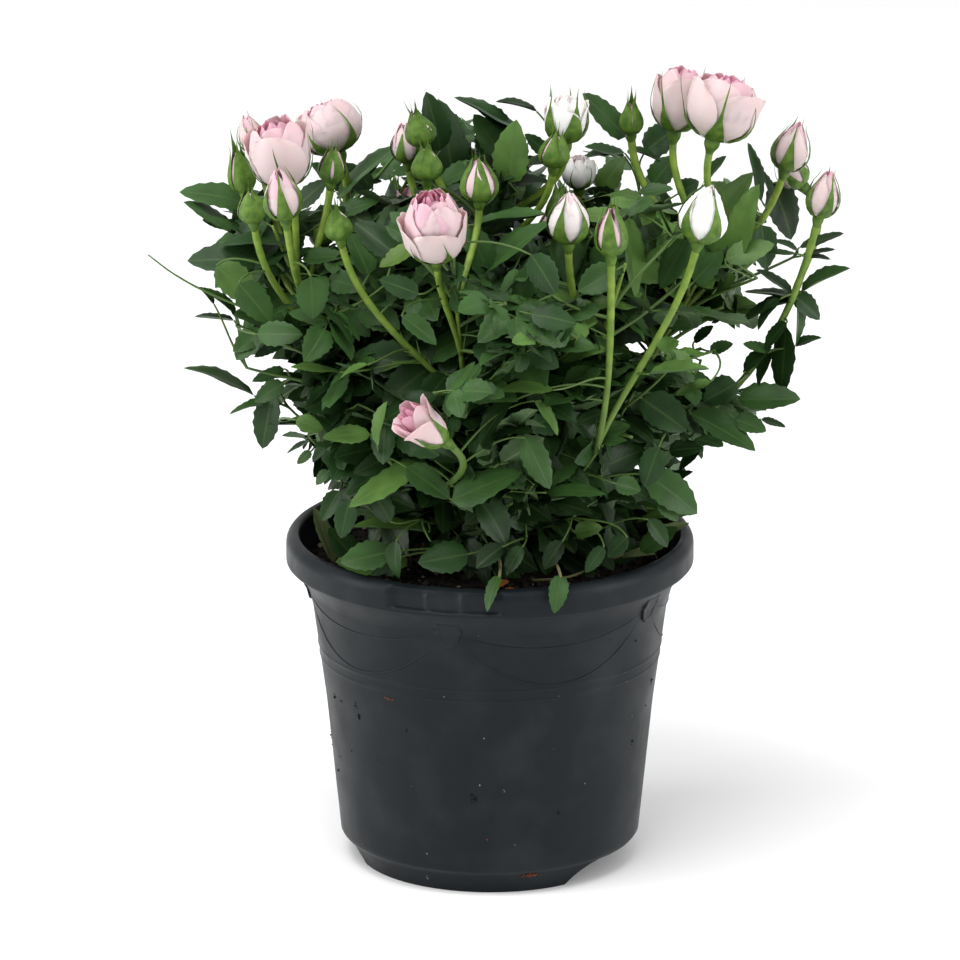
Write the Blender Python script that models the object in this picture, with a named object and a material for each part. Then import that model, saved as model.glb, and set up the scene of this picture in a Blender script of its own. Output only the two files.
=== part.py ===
"""A patio rose bush in its nursery pot: pot, potting soil, woody crown, canes and masses of foliage.

Metres, +Z up. The origin is the centre of the pot's flat underside, and -Y is the side seen first.
Canes rise from the crown. Each ends where its foliage mass begins, and every mass keeps to its own cell
of the space round the plant: the points nearer to its own site than to any other.
"""

import math
import random

import bmesh
import bpy
from mathutils import Matrix, Vector
from mathutils.bvhtree import BVHTree

MM = 0.001
GAP = 0.3 * MM  # clearance between pieces that touch
UP = Vector((0, 0, 1))
GOLDEN_ANGLE = math.radians(137.5)
SEED = 11

# Pot: a tapered shell on a low foot, flaring to a thick rounded lip
POT_SIDES = 36
POT_WALL = 2.2 * MM
RIM_RADIUS = 115 * MM
RIM_TOP = 190 * MM
LIP_INNER_RADIUS = 107.4 * MM
FOOT_RADIUS = 75 * MM
FOOT_TOP_RADIUS = 80.5 * MM
FOOT_HEIGHT = 12.5 * MM
WALL_PROFILE = (  # outer radius and height of the wall, from the foot to the underside of the lip
    (84.2 * MM, 14 * MM),
    (92.2 * MM, 92 * MM),
    (100.7 * MM, 149 * MM),
    (106 * MM, 160.6 * MM),
    (110.8 * MM, 171.5 * MM),
)
LIP_PROFILE = (
    (RIM_RADIUS, 174.7 * MM),
    (RIM_RADIUS, 184.5 * MM),
    (RIM_RADIUS - 2.5 * MM, 188.7 * MM),
    (LIP_INNER_RADIUS + 1.6 * MM, RIM_TOP),
)
NOTCH_AZIMUTHS = (math.radians(-17), math.radians(163))  # middle of each drainage arch in the foot
NOTCH_HALF_ANGLE = math.radians(38)
NOTCH_DEPTH_RADIUS = 62 * MM
NOTCH_STEPS = 6
DRAIN_RADIUS = 4.5 * MM
DRAIN_CIRCLE = 71 * MM
DRAIN_SPREAD = math.radians(14)

# Soil and woody crown
SOIL_TOP = 176 * MM
CROWN_SIDES = 10
CROWN_PROFILE = ((25 * MM, 0), (20 * MM, 5 * MM), (17 * MM, 12 * MM), (12 * MM, 18 * MM), (5 * MM, 21 * MM))

# Canes: the tall ones carry the flowering head of the bush, the short ones its leafy skirt
TALL_SITES = (  # name, across and depth of each mass's site
    ("centre", -5 * MM, 5 * MM),
    ("right", 135 * MM, 5 * MM),
    ("front_right", 75 * MM, -95 * MM),
    ("front_left", -20 * MM, -115 * MM),
    ("left", -118 * MM, -50 * MM),
    ("back_left", -90 * MM, 90 * MM),
    ("back", 15 * MM, 130 * MM),
    ("back_right", 110 * MM, 105 * MM),
)
TALL_SITE_HEIGHT = 335 * MM
TALL_ENTRY_HEIGHT = 268 * MM
TALL_ENTRY_SHARE = 0.56  # of the site's reach, where the cane ends and the mass begins
TALL_APEX_HEIGHT = 402 * MM
TALL_APEX_SHARE = 1.08
TALL_FOOT_RADIUS = 10 * MM
SKIRT_COUNT = 6
SKIRT_FIRST = math.radians(-60)
SKIRT_REACH = 95 * MM
SKIRT_SITE_HEIGHT = 228 * MM
SKIRT_ENTRY_REACH = 44 * MM
SKIRT_ENTRY_HEIGHT = 212 * MM
SKIRT_APEX_REACH = 118 * MM
SKIRT_APEX_HEIGHT = 268 * MM
SKIRT_FOOT_RADIUS = 17 * MM
CANE_SIDES = 6
CANE_STEPS = 4
CANE_RADIUS = 3.0 * MM
CANE_TIP_RADIUS = 2.1 * MM

# Crown of leaves: greatest reach from the leaning axis at each height
REACH_PROFILE = (
    (178 * MM, 98 * MM),
    (218 * MM, 104 * MM),
    (245 * MM, 142 * MM),
    (300 * MM, 160 * MM),
    (350 * MM, 170 * MM),
    (405 * MM, 170 * MM),
    (440 * MM, 146 * MM),
    (458 * MM, 100 * MM),
)
AXIS_LEAN = 16 * MM  # how far the crown's axis has moved to +X at its top
BACK_FALL = 0.3  # how much lower the crown is for each step behind its axis
LEAF_OVERHANG = 14 * MM  # how far a leaf may stand out past the reach

# Twigs and leaves
STEM_RADIUS = 2.1 * MM
STEM_TIP_RADIUS = 1.4 * MM
STALK_RADII = (1 * MM, 1.6 * MM, 1.4 * MM, 1.2 * MM)  # a flower stalk's, from its root in the stem
STRAY_RADII = (1 * MM, 1.3 * MM, 1 * MM, 0.5 * MM)
TWIG_RADII = (1 * MM, 1.7 * MM, 1.4 * MM)
TALL_TWIGS = 4
SKIRT_TWIGS = 4
TWIG_LENGTH = 80 * MM
INTERNODE = 17 * MM
BARE_STALK = 34 * MM  # leafless length below a flower head
LEAVES_PER_MASS = 9
LEAF_RISE = (-68, -18)  # slope of a leaf at the rim's height, in degrees
LEAF_RISE_GAIN = 55  # how much steeper it points up at the top of the stems
LEAF_ROLL = 1.2
RACHIS_LENGTH = 35 * MM
RACHIS_RADIUS = 0.9 * MM
LEAFLET_PAIRS = (  # place on the leaf's stalk, angle from it, share of the last leaflet's length
    (9.5 * MM, math.radians(80), 0.74),
    (24.5 * MM, math.radians(58), 0.88),
)
LEAFLET_ROOT = 1.8 * MM  # width of a side leaflet's root
LEAFLET_LENGTH = 44 * MM
LEAFLET_WIDTH = 0.6  # of its length
LEAFLET_THICKNESS = 0.9 * MM
LEAF_TRIES = 20
LEAF_SPREAD = 100 * MM  # how far back from the tips the leaves that are placed first may start

# Flower heads: kind, across, depth and height of the base, width, length and lean to +X in degrees
HEADS = (
    ("bloom", 126, -15, 426, 42, 38, 12),
    ("bloom", 108, 16, 421, 31, 36, 4),
    ("bloom", -114, -60, 408, 38, 39, -25),
    ("bloom", -80, 45, 395, 38, 34, -35),
    ("opening", -112, -95, 400, 21, 29, -8),
    ("bloom", -25, -120, 387, 37, 39, -12),
    ("bloom", -22, -140, 293, 27, 32, -75),
    ("opening", -46, 30, 397, 17, 23, -5),
    ("bud", -37, 0, 415, 16, 22, -15),
    ("bud", -35, -30, 403, 17, 21, 0),
    ("opening", -6, -72, 402, 20, 25, 0),
    ("opening", 42, -10, 424, 25, 27, -3),
    ("bud", 35, -25, 411, 16, 21, 4),
    ("bud", 79, 20, 416, 12, 19, 0),
    ("opening", 43, -85, 382, 23, 30, 0),
    ("bud", 66, -115, 383, 18, 29, 0),
    ("opening", 114, -90, 384, 27, 33, 12),
    ("opening", 165, 20, 395, 22, 28, 15),
    ("opening", 176, 46, 379, 17, 21, -40),
    ("opening", 183, -10, 378, 18, 27, 15),
    ("bud", -136, -30, 396, 14, 24, -10),
    ("bud", -130, -72, 390, 15, 19, -6),
    ("bud", -82, -93, 387, 14, 17, -10),
    ("opening", -88, -40, 404, 17, 22, 5),
    ("opening", -130, -20, 419, 16, 21, -15),
    ("opening", 55, 38, 384, 14, 18, 0),
)
BACK_HEADS = 9  # set out by rule behind the axis
BACK_FIRST = math.radians(24)
BACK_STEP = math.radians(16)
BACK_REACHES = (96 * MM, 140 * MM, 76 * MM, 126 * MM)
BACK_TOPS = (428 * MM, 414 * MM, 436 * MM, 420 * MM)
BACK_KINDS = (("bloom", 37, 37), ("bud", 15, 21), ("opening", 22, 28), ("bud", 13, 19), ("bloom", 34, 35))

# Rings of a head: share of its length, share of its half width
HEAD_RINGS = {
    "bud": ((-0.1, 0.3), (0.22, 1.0), (0.6, 0.8), (1.0, 0.12)),
    "opening": ((-0.12, 0.24), (0.2, 0.9), (0.7, 1.0), (1.0, 0.45)),
    "bloom": ((-0.14, 0.16), (0.2, 0.8), (0.7, 1.0), (1.0, 0.55)),
}
HEAD_SIDES = {"bud": 5, "opening": 6, "bloom": 10}
HEAD_LOBES = {"bud": 0, "opening": 0, "bloom": 0.1}
STALK_LOW_SHARE = 0.1  # of the stem's length, where its lowest flower stalk springs
STALK_SHARE_SPREAD = 0.6
STALK_STEPS = 3

# Thin bare shoots that stand out past the leaves: mass, tip
STRAY_TIPS = (("left", Vector((-190 * MM, -25 * MM, 352 * MM))),)


# ---------------------------------------------------------------- meshes


def clear_scene():
    for obj in list(bpy.data.objects):
        bpy.data.objects.remove(obj)


def material(name, colour, roughness):
    made = bpy.data.materials.new(name)
    made.use_nodes = True
    shader = made.node_tree.nodes["Principled BSDF"]
    shader.inputs["Base Color"].default_value = (*colour, 1)
    shader.inputs["Roughness"].default_value = roughness
    shader.inputs["Metallic"].default_value = 0
    return made


def mesh_object(name, points, faces, finish=None):
    """A mesh object with all its faces pointing out."""
    mesh = bpy.data.meshes.new(name)
    mesh.from_pydata([tuple(p) for p in points], [], faces)
    shape = bmesh.new()
    shape.from_mesh(mesh)
    bmesh.ops.recalc_face_normals(shape, faces=shape.faces)
    shape.to_mesh(mesh)
    shape.free()
    if finish:
        mesh.materials.append(finish)
    made = bpy.data.objects.new(name, mesh)
    bpy.context.scene.collection.objects.link(made)
    return made


def turned(profile, sides, bump=None):
    """A closed solid turned round Z from a profile of (radius, height), rising from its bottom centre to its top."""
    points = [Vector((0, 0, profile[0][1]))]
    for radius, height in profile:
        for i in range(sides):
            angle = 2 * math.pi * i / sides
            r = radius * (bump(angle, height) if bump else 1)
            points.append(Vector((r * math.cos(angle), r * math.sin(angle), height)))
    points.append(Vector((0, 0, profile[-1][1])))
    faces = [(0, 1 + (i + 1) % sides, 1 + i) for i in range(sides)]
    for ring in range(len(profile) - 1):
        low, high = 1 + ring * sides, 1 + (ring + 1) * sides
        for i in range(sides):
            j = (i + 1) % sides
            faces.append((low + i, low + j, high + j, high + i))
    last, top = 1 + (len(profile) - 1) * sides, len(points) - 1
    faces += [(top, last + i, last + (i + 1) % sides) for i in range(sides)]
    return points, faces


def frames_along(points):
    """Unit tangent and one carried normal at each point of a path."""
    tangents = []
    for i in range(len(points)):
        ahead, behind = points[min(i + 1, len(points) - 1)], points[max(i - 1, 0)]
        tangents.append((ahead - behind).normalized())
    normal = tangents[0].orthogonal()
    frames = []
    for tangent in tangents:
        normal = (normal - tangent * normal.dot(tangent)).normalized()
        frames.append((tangent, normal))
    return frames


def tube(points, radii, sides):
    """A closed tube along a path, with a radius for each point."""
    verts = []
    for point, radius, (tangent, normal) in zip(points, radii, frames_along(points)):
        side = tangent.cross(normal)
        for k in range(sides):
            angle = 2 * math.pi * k / sides
            verts.append(point + (normal * math.cos(angle) + side * math.sin(angle)) * radius)
    faces = [tuple(range(sides)), tuple(range(len(verts) - sides, len(verts)))]
    for i in range(len(points) - 1):
        for k in range(sides):
            a, b = i * sides + k, i * sides + (k + 1) % sides
            faces.append((a, b, b + sides, a + sides))
    return verts, faces


def taper(start, end, count):
    return [start + (end - start) * i / (count - 1) for i in range(count)]


def boolean(obj, other, operation, solver="EXACT"):
    """Applies a Boolean of obj with another object, or with every object of a collection, then removes the other."""
    modifier = obj.modifiers.new(operation.lower(), "BOOLEAN")
    modifier.operation = operation
    modifier.solver = solver
    if isinstance(other, bpy.types.Collection):
        modifier.operand_type = "COLLECTION"
        modifier.collection = other
    else:
        modifier.object = other
    bpy.context.view_layer.update()
    graph = bpy.context.evaluated_depsgraph_get()
    made = bpy.data.meshes.new_from_object(obj.evaluated_get(graph))
    obj.modifiers.remove(modifier)
    obj.data = made
    spent = list(other.objects) if isinstance(other, bpy.types.Collection) else [other]
    for piece in spent:
        bpy.data.objects.remove(piece)
    if isinstance(other, bpy.types.Collection):
        bpy.data.collections.remove(other)


def keep_largest_shell(obj):
    """Drops loose scraps and fills sealed hollows: only the connected shell of greatest volume stays."""
    shape = bmesh.new()
    shape.from_mesh(obj.data)
    unseen, shells = set(shape.verts), []
    while unseen:
        front, shell = [unseen.pop()], set()
        while front:
            vert = front.pop()
            shell.add(vert)
            for edge in vert.link_edges:
                other = edge.other_vert(vert)
                if other in unseen:
                    unseen.discard(other)
                    front.append(other)
        shells.append(shell)

    def volume(shell):
        total = 0.0
        for face in {f for v in shell for f in v.link_faces}:
            corners = [v.co for v in face.verts]
            for i in range(1, len(corners) - 1):
                total += corners[0].dot(corners[i].cross(corners[i + 1]))
        return total

    best = max(shells, key=volume)
    bmesh.ops.delete(shape, geom=[v for v in shape.verts if v not in best], context="VERTS")
    shape.to_mesh(obj.data)
    shape.free()


def fused(name, solids, finish):
    """One object from many overlapping solids, by one Boolean union on a collection."""
    group = bpy.data.collections.new(f"{name}_parts")
    bpy.context.scene.collection.children.link(group)
    for i, (points, faces) in enumerate(solids):
        piece = mesh_object(name if i == 0 else f"{name}_part", points, faces)
        if i == 0:
            whole = piece
        else:
            bpy.context.scene.collection.objects.unlink(piece)
            group.objects.link(piece)
    boolean(whole, group, "UNION", "MANIFOLD")
    keep_largest_shell(whole)
    whole.data.materials.clear()
    whole.data.materials.append(finish)
    return whole


# ---------------------------------------------------------------- pot and soil


def arch_cutter(azimuth, grow):
    """The drainage arch in the foot: a low vault that runs outwards, grown by a wall's thickness where needed."""
    half = NOTCH_HALF_ANGLE + grow / FOOT_RADIUS
    points = []
    for radius in (NOTCH_DEPTH_RADIUS - grow, RIM_RADIUS):
        for i in range(NOTCH_STEPS + 1):
            share = 2 * i / NOTCH_STEPS - 1
            angle = azimuth + share * half
            height = (FOOT_HEIGHT + grow) * (1 - 0.9 * abs(share) ** 5)
            x, y = radius * math.cos(angle), radius * math.sin(angle)
            points += [Vector((x, y, -5 * MM)), Vector((x, y, height))]
    row, end = 2 * (NOTCH_STEPS + 1), 2 * NOTCH_STEPS
    faces = [(0, 1, row + 1, row), (end, row + end, row + end + 1, end + 1)]
    for i in range(NOTCH_STEPS):
        a, b = 2 * i, 2 * i + 2
        faces += [(a, b, b + 1, a + 1), (row + a, row + a + 1, row + b + 1, row + b)]
        faces += [(a, row + a, row + b, b), (a + 1, b + 1, row + b + 1), (a + 1, row + b + 1, row + a + 1)]
    return points, faces


def hollow(name, shrink, top):
    """The space inside the pot's wall, smaller by a clearance and up to a height: the cavity, and the soil in it."""
    inset = POT_WALL + shrink
    profile = [(FOOT_RADIUS - 1.2 * inset, inset), (FOOT_TOP_RADIUS - inset, FOOT_HEIGHT + inset)]
    profile += [(radius - inset, height) for radius, height in WALL_PROFILE[1:-1]]
    profile.append((LIP_INNER_RADIUS - 1 * MM - shrink, WALL_PROFILE[-1][1]))
    if top > RIM_TOP:
        profile += [(LIP_INNER_RADIUS, RIM_TOP - 1.5 * MM), (LIP_INNER_RADIUS + 1 * MM, top)]
    else:
        profile.append((LIP_INNER_RADIUS - 1 * MM - shrink, top))
    made = mesh_object(name, *turned(profile, POT_SIDES))
    for azimuth in NOTCH_AZIMUTHS:
        boolean(made, mesh_object("arch", *arch_cutter(azimuth, inset)), "DIFFERENCE")
    return made


def build_pot(finish):
    profile = [(FOOT_RADIUS, 0), (FOOT_TOP_RADIUS, FOOT_HEIGHT), *WALL_PROFILE, *LIP_PROFILE]
    pot = mesh_object("pot", *turned(profile, POT_SIDES), finish)
    for azimuth in NOTCH_AZIMUTHS:
        boolean(pot, mesh_object("arch", *arch_cutter(azimuth, 0)), "DIFFERENCE")
    boolean(pot, hollow("cavity", 0, RIM_TOP + 5 * MM), "DIFFERENCE")
    for azimuth in NOTCH_AZIMUTHS:
        for side in (-1, 1):
            angle = azimuth + side * DRAIN_SPREAD
            centre = Vector((DRAIN_CIRCLE * math.cos(angle), DRAIN_CIRCLE * math.sin(angle), 0))
            path = [centre + UP * (8 * MM), centre + UP * (20 * MM)]
            drain = tube(path, (DRAIN_RADIUS, DRAIN_RADIUS), 8)
            boolean(pot, mesh_object("drain", *drain), "DIFFERENCE")
    pot.data.materials.clear()
    pot.data.materials.append(finish)
    pot.data.shade_smooth()
    pot.data.set_sharp_from_angle(angle=math.radians(35))
    return pot


def build_soil(finish):
    soil = hollow("soil", GAP, SOIL_TOP)
    soil.data.materials.clear()
    soil.data.materials.append(finish)
    return soil


def crown_solid(grow):
    """The woody crown: a knobbly stump with a root flare, cut flat where it stands on the soil."""

    def knobs(angle, height):
        return 1 + 0.07 * math.sin(3 * angle + 90 * height) + 0.05 * math.cos(5 * angle + 1)

    foot = SOIL_TOP + GAP
    profile = [(radius + grow, foot + height + (grow if height else -grow)) for radius, height in CROWN_PROFILE]
    return turned(profile, CROWN_SIDES, knobs)


# ---------------------------------------------------------------- canes and masses


def curve(start, start_way, end, end_way, steps):
    """Points on a smooth arc that leaves start along one direction and reaches end along another."""
    reach = (end - start).length * 0.36
    second, third = start + start_way.normalized() * reach, end - end_way.normalized() * reach
    points = []
    for i in range(steps + 1):
        t = i / steps
        s = 1 - t
        points.append(start * s**3 + second * (3 * s * s * t) + third * (3 * s * t * t) + end * t**3)
    return points


def lean_at(height):
    return AXIS_LEAN * max(0.0, (height - RIM_TOP) / (REACH_PROFILE[-1][0] - RIM_TOP))


def reach_at(height):
    """The crown's greatest reach from its leaning axis at a height, read off the profile in straight stretches."""
    if height <= REACH_PROFILE[0][0]:
        return REACH_PROFILE[0][1]
    for (z0, r0), (z1, r1) in zip(REACH_PROFILE, REACH_PROFILE[1:]):
        if height <= z1:
            return r0 + (r1 - r0) * (height - z0) / (z1 - z0)
    return 0.0


def reach_excess(point):
    """How far a point lies outside the crown's reach, negative inside it."""
    across = point.x - lean_at(point.z)
    return math.hypot(across, point.y) - reach_at(point.z + BACK_FALL * max(0.0, point.y))


class Mass:
    """One mass of foliage: its site, the cane that carries it, and the framework that its leaves grow on."""

    def __init__(self, name, site, foot, entry, apex, twigs):
        self.name, self.site, self.entry, self.apex, self.twigs = name, site, entry, apex, twigs
        outwards = Vector((entry.x, entry.y, 0)) * 0.4
        entry_way = (entry - foot).normalized() + (apex - entry).normalized()
        self.cane = curve(foot, UP * (90 * MM) + outwards, entry, entry_way, CANE_STEPS)
        entry_way = (self.cane[-1] - self.cane[-2]).normalized()
        start = entry + entry_way * GAP
        straight = start + entry_way * (4 * MM)
        self.stem = [start, *curve(straight, entry_way, apex, apex - entry + UP * (40 * MM), 4)]
        self.walls, self.heads = [], []
        self.shoots = [(self.stem, 0.0)]  # path and leafless length at its end
        self.solids, self.trees = [], []
        self.guard = None  # what the other masses keep clear of, besides the walls

    def set_walls(self, sites):
        """A plane half way to each other site, a little on this side of it."""
        for other in sites:
            if other is not self.site:
                normal = (other - self.site).normalized()
                self.walls.append((normal, normal.dot((other + self.site) / 2) - GAP))

    def depth_inside(self, point):
        """Distance from the nearest wall of the cell, negative outside it."""
        return min(limit - normal.dot(point) for normal, limit in self.walls)

    def add(self, solid):
        self.solids.append(solid)
        self.trees.append(tree_of([solid]))


def plan_masses():
    masses = []
    for name, across, depth in TALL_SITES:
        flat = Vector((across, depth, 0))
        foot_radius = TALL_FOOT_RADIUS if flat.length > 20 * MM else 0
        foot = flat.normalized() * foot_radius + UP * (SOIL_TOP + 8 * MM)
        entry = flat * TALL_ENTRY_SHARE + UP * TALL_ENTRY_HEIGHT
        apex = flat * TALL_APEX_SHARE + UP * (TALL_APEX_HEIGHT - BACK_FALL * max(0.0, depth))
        masses.append(Mass(name, flat + UP * TALL_SITE_HEIGHT, foot, entry, apex, TALL_TWIGS))
    for i in range(SKIRT_COUNT):
        angle = SKIRT_FIRST + 2 * math.pi * i / SKIRT_COUNT
        away = Vector((math.cos(angle), math.sin(angle), 0))
        foot = away * SKIRT_FOOT_RADIUS + UP * (SOIL_TOP + 5 * MM)
        entry = away * SKIRT_ENTRY_REACH + UP * SKIRT_ENTRY_HEIGHT
        apex = away * SKIRT_APEX_REACH + UP * SKIRT_APEX_HEIGHT
        site = away * SKIRT_REACH + UP * SKIRT_SITE_HEIGHT
        masses.append(Mass(f"skirt_{i + 1}", site, foot, entry, apex, SKIRT_TWIGS))
    sites = [mass.site for mass in masses]
    for mass in masses:
        mass.set_walls(sites)
    return masses


def plan_heads(masses):
    """Every flower head as (kind, base, axis, width, length), handed to the mass whose site is nearest."""
    rows = [
        (kind, Vector((x, y, z)) * MM, width * MM, length * MM, math.radians(lean))
        for kind, x, y, z, width, length, lean in HEADS
    ]
    for i in range(BACK_HEADS):
        angle = BACK_FIRST + i * BACK_STEP
        reach = BACK_REACHES[i % len(BACK_REACHES)]
        kind, width, length = BACK_KINDS[i % len(BACK_KINDS)]
        base = Vector((reach * math.cos(angle) + AXIS_LEAN, reach * math.sin(angle), 0))
        base.z = BACK_TOPS[i % len(BACK_TOPS)] - length * MM - BACK_FALL * base.y
        rows.append((kind, base, width * MM, length * MM, 0.25 * math.cos(angle)))
    for kind, base, width, length, lean in rows:
        mass = min(masses, key=lambda m: (m.site - base).length)
        forward = -0.12 if base.y < 0 else 0.18
        axis = Vector((math.sin(lean), forward, math.cos(lean))).normalized()
        mass.heads.append((kind, base, axis, width, length))
    for mass in masses:
        mass.heads.sort(key=lambda head: head[1].z)


def head_solid(kind, base, axis, width, length):
    """A flower head: a faceted body from its green cup to its crest."""
    sides, rings = HEAD_SIDES[kind], HEAD_RINGS[kind]
    turn = axis.to_track_quat("Z", "Y").to_matrix()

    def lobed(angle, height):
        return 1 + HEAD_LOBES[kind] * math.cos(sides / 2 * angle) * min(1, max(0, height / length))

    profile = [(share * width / 2, part * length) for part, share in rings]
    points, faces = turned(profile, sides, lobed)
    return [base + turn @ point for point in points], faces


def frame_mass(mass):
    """The stem of a mass, a stalk from it to each head, the heads, and any shoot that strays out."""
    lengths = lengths_along(mass.stem)
    paths = [(mass.stem, taper(STEM_RADIUS, STEM_TIP_RADIUS, len(mass.stem)))]
    heads, wide_parts = [], []
    for i, (kind, base, axis, width, length) in enumerate(mass.heads):
        share = STALK_LOW_SHARE + STALK_SHARE_SPREAD * (i + 0.5) / len(mass.heads)
        node, tangent = at_length(mass.stem, lengths, share * lengths[-1])
        stalk = curve(node, tangent + (base - node).normalized(), base + axis * (0.1 * length), axis, STALK_STEPS)
        paths.append((stalk, STALK_RADII))
        mass.shoots.append((stalk, BARE_STALK))
        heads.append(head_solid(kind, base, axis, width, length))
        wide_parts.append(head_solid(kind, base - axis * (2 * GAP), axis, width + 4 * GAP, length + 4 * GAP))
    for name, tip in STRAY_TIPS:
        if name == mass.name:
            node, tangent = at_length(mass.stem, lengths, 0.35 * lengths[-1])
            paths.append((curve(node, tangent, tip, tip - node, 3), STRAY_RADII))
    for path, radii in paths:
        mass.add(tube(path, radii, 3))
        wide_parts.append(tube(path, [radius + 2 * GAP for radius in radii], 3))
    for head in heads:
        mass.add(head)
    mass.guard = tree_of(wide_parts)


def leaf_solid(node, tangent, angle, rng, size):
    """A compound leaf from a node of a twig, as one closed solid: a three-sided stalk and five leaflets.

    The stalk is a row of three-cornered rings. A side leaflet grows out of the stalk's flank between the two
    rings of a pair, and the last leaflet out of the end ring.
    """
    outwards = Matrix.Rotation(angle, 3, tangent) @ tangent.orthogonal().normalized()
    opening = math.radians(rng.uniform(46, 68))
    way = (tangent * math.cos(opening) + outwards * math.sin(opening)).normalized()
    level = Vector((way.x, way.y, 0))
    level = level.normalized() if level.length > 0.05 else outwards
    rise = math.radians(rng.uniform(*LEAF_RISE) + LEAF_RISE_GAIN * (node.z - RIM_TOP) / (TALL_APEX_HEIGHT - RIM_TOP))
    axis = (way + level * math.cos(rise) + UP * math.sin(rise)).normalized()
    up = (UP - axis * axis.z + axis.cross(UP) * rng.uniform(-LEAF_ROLL, LEAF_ROLL)).normalized()
    across = axis.cross(up).normalized()
    points, faces = [], []
    stations = [0]
    for start, _, _ in LEAFLET_PAIRS:
        stations += [start * size, start * size + LEAFLET_ROOT]
    stations.append(RACHIS_LENGTH * size)
    for i, distance in enumerate(stations):
        thick = RACHIS_RADIUS * (0.8 if i == 0 else 1)
        centre = node + axis * distance
        points += [centre - across * thick + up * (0.55 * thick), centre + across * thick + up * (0.55 * thick)]
        points.append(centre - up * (1.1 * thick))

    def leaflet(root, direction, top_near, top_far, low_near, low_far, length):
        """Four more corners, and the faces that carry a leaflet out from the stalk's corners."""
        out = direction.cross(up).normalized() * (LEAFLET_WIDTH / 2 * length)
        middle = root + direction * (0.45 * length)
        raised = up * (0.05 * length)
        near, far, tip, rib = range(len(points), len(points) + 4)
        if (points[top_far] - points[top_near]).dot(out) < 0:
            out = -out
        points.extend((middle - out + raised, middle + out + raised))
        points.append(root + direction * length - up * (0.06 * length))
        points.append(middle + up * (LEAFLET_THICKNESS - 0.03 * length))
        faces.extend(((top_near, top_far, rib), (top_far, far, rib), (far, tip, rib), (tip, near, rib)))
        faces.extend(((near, top_near, rib), (low_near, near, tip), (low_far, tip, far)))
        faces.extend(((top_near, low_near, near), (top_far, far, low_far)))
        if low_near != low_far:
            faces.append((low_near, tip, low_far))

    last = len(stations) - 1
    faces.append((0, 1, 2))
    for i in range(last):
        a, b = 3 * i, 3 * i + 3
        faces.append((a, a + 1, b + 1, b))
        if i % 2 == 0:
            faces += [(a + 1, a + 2, b + 2, b + 1), (a + 2, a, b, b + 2)]
    for pair, (start, turn, scale) in enumerate(LEAFLET_PAIRS):
        root = node + axis * (start * size + LEAFLET_ROOT / 2)
        a = 3 * (2 * pair + 1)
        for hand, corner in ((-1, 0), (1, 1)):
            spread = (axis * math.cos(turn) + across * hand * math.sin(turn) - up * 0.08).normalized()
            leaflet(root, spread, a + corner, a + corner + 3, a + 2, a + 5, LEAFLET_LENGTH * scale * size)
    end = 3 * last
    leaflet(node + axis * stations[-1], axis, end, end + 1, end + 2, end + 2, LEAFLET_LENGTH * size)
    return points, faces


def clear_of_pot(points):
    """True if a convex piece lies all above the rim, or all inside the lip and above the soil."""
    over = all(p.z > RIM_TOP + 1.5 * MM for p in points)
    inner = LIP_INNER_RADIUS - 5 * MM
    return over or all(math.hypot(p.x, p.y) < inner and p.z > SOIL_TOP + 1.5 * MM for p in points)


def tree_of(solids):
    """A search tree over the faces of several solids."""
    points, faces = [], []
    for some_points, some_faces in solids:
        faces += [tuple(len(points) + i for i in face) for face in some_faces]
        points += some_points
    return BVHTree.FromPolygons(points, faces)


def fits(mass, solid, trees, overhang):
    """True if the solid stays in the mass's cell and the crown's reach, and touches none of the trees."""
    points = solid[0]
    if any(mass.depth_inside(p) < GAP or reach_excess(p) > overhang for p in points):
        return False
    piece = tree_of([solid])
    return clear_of_pot(points) and not any(piece.overlap(tree) for tree in trees)


def lengths_along(path):
    total, lengths = 0.0, [0.0]
    for a, b in zip(path, path[1:]):
        total += (b - a).length
        lengths.append(total)
    return lengths


def at_length(path, lengths, distance):
    """(point, tangent) that far along a path."""
    for i in range(1, len(path)):
        if distance <= lengths[i] or i == len(path) - 1:
            share = (distance - lengths[i - 1]) / (lengths[i] - lengths[i - 1])
            return path[i - 1].lerp(path[i], share), (path[i] - path[i - 1]).normalized()


def grow_twigs(mass, outside):
    """Side twigs in a spiral round the stem, the lowest pointing away from the plant's axis.

    Each takes the first of its tries that has room, or is left out.
    """
    lengths = lengths_along(mass.stem)
    away = Vector((mass.site.x, mass.site.y, 0))
    for i in range(mass.twigs):
        node, tangent = at_length(mass.stem, lengths, (0.08 + 0.8 * i / mass.twigs) * lengths[-1])
        for attempt in range(LEAF_TRIES):
            square = away - tangent * away.dot(tangent)
            out = Matrix.Rotation(i * GOLDEN_ANGLE + attempt * 0.7, 3, tangent) @ square.normalized()
            way = (tangent * 0.4 + out).normalized()
            length = TWIG_LENGTH * 0.95**attempt
            twig = curve(node, way, node + way * length + UP * (0.18 * length), way + UP * 0.5, 2)
            solid = tube(twig, TWIG_RADII, 3)
            if fits(mass, solid, [*outside, *mass.trees[1:]], -8 * MM):
                mass.add(solid)
                mass.shoots.append((twig, 0.0))
                break


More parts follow.
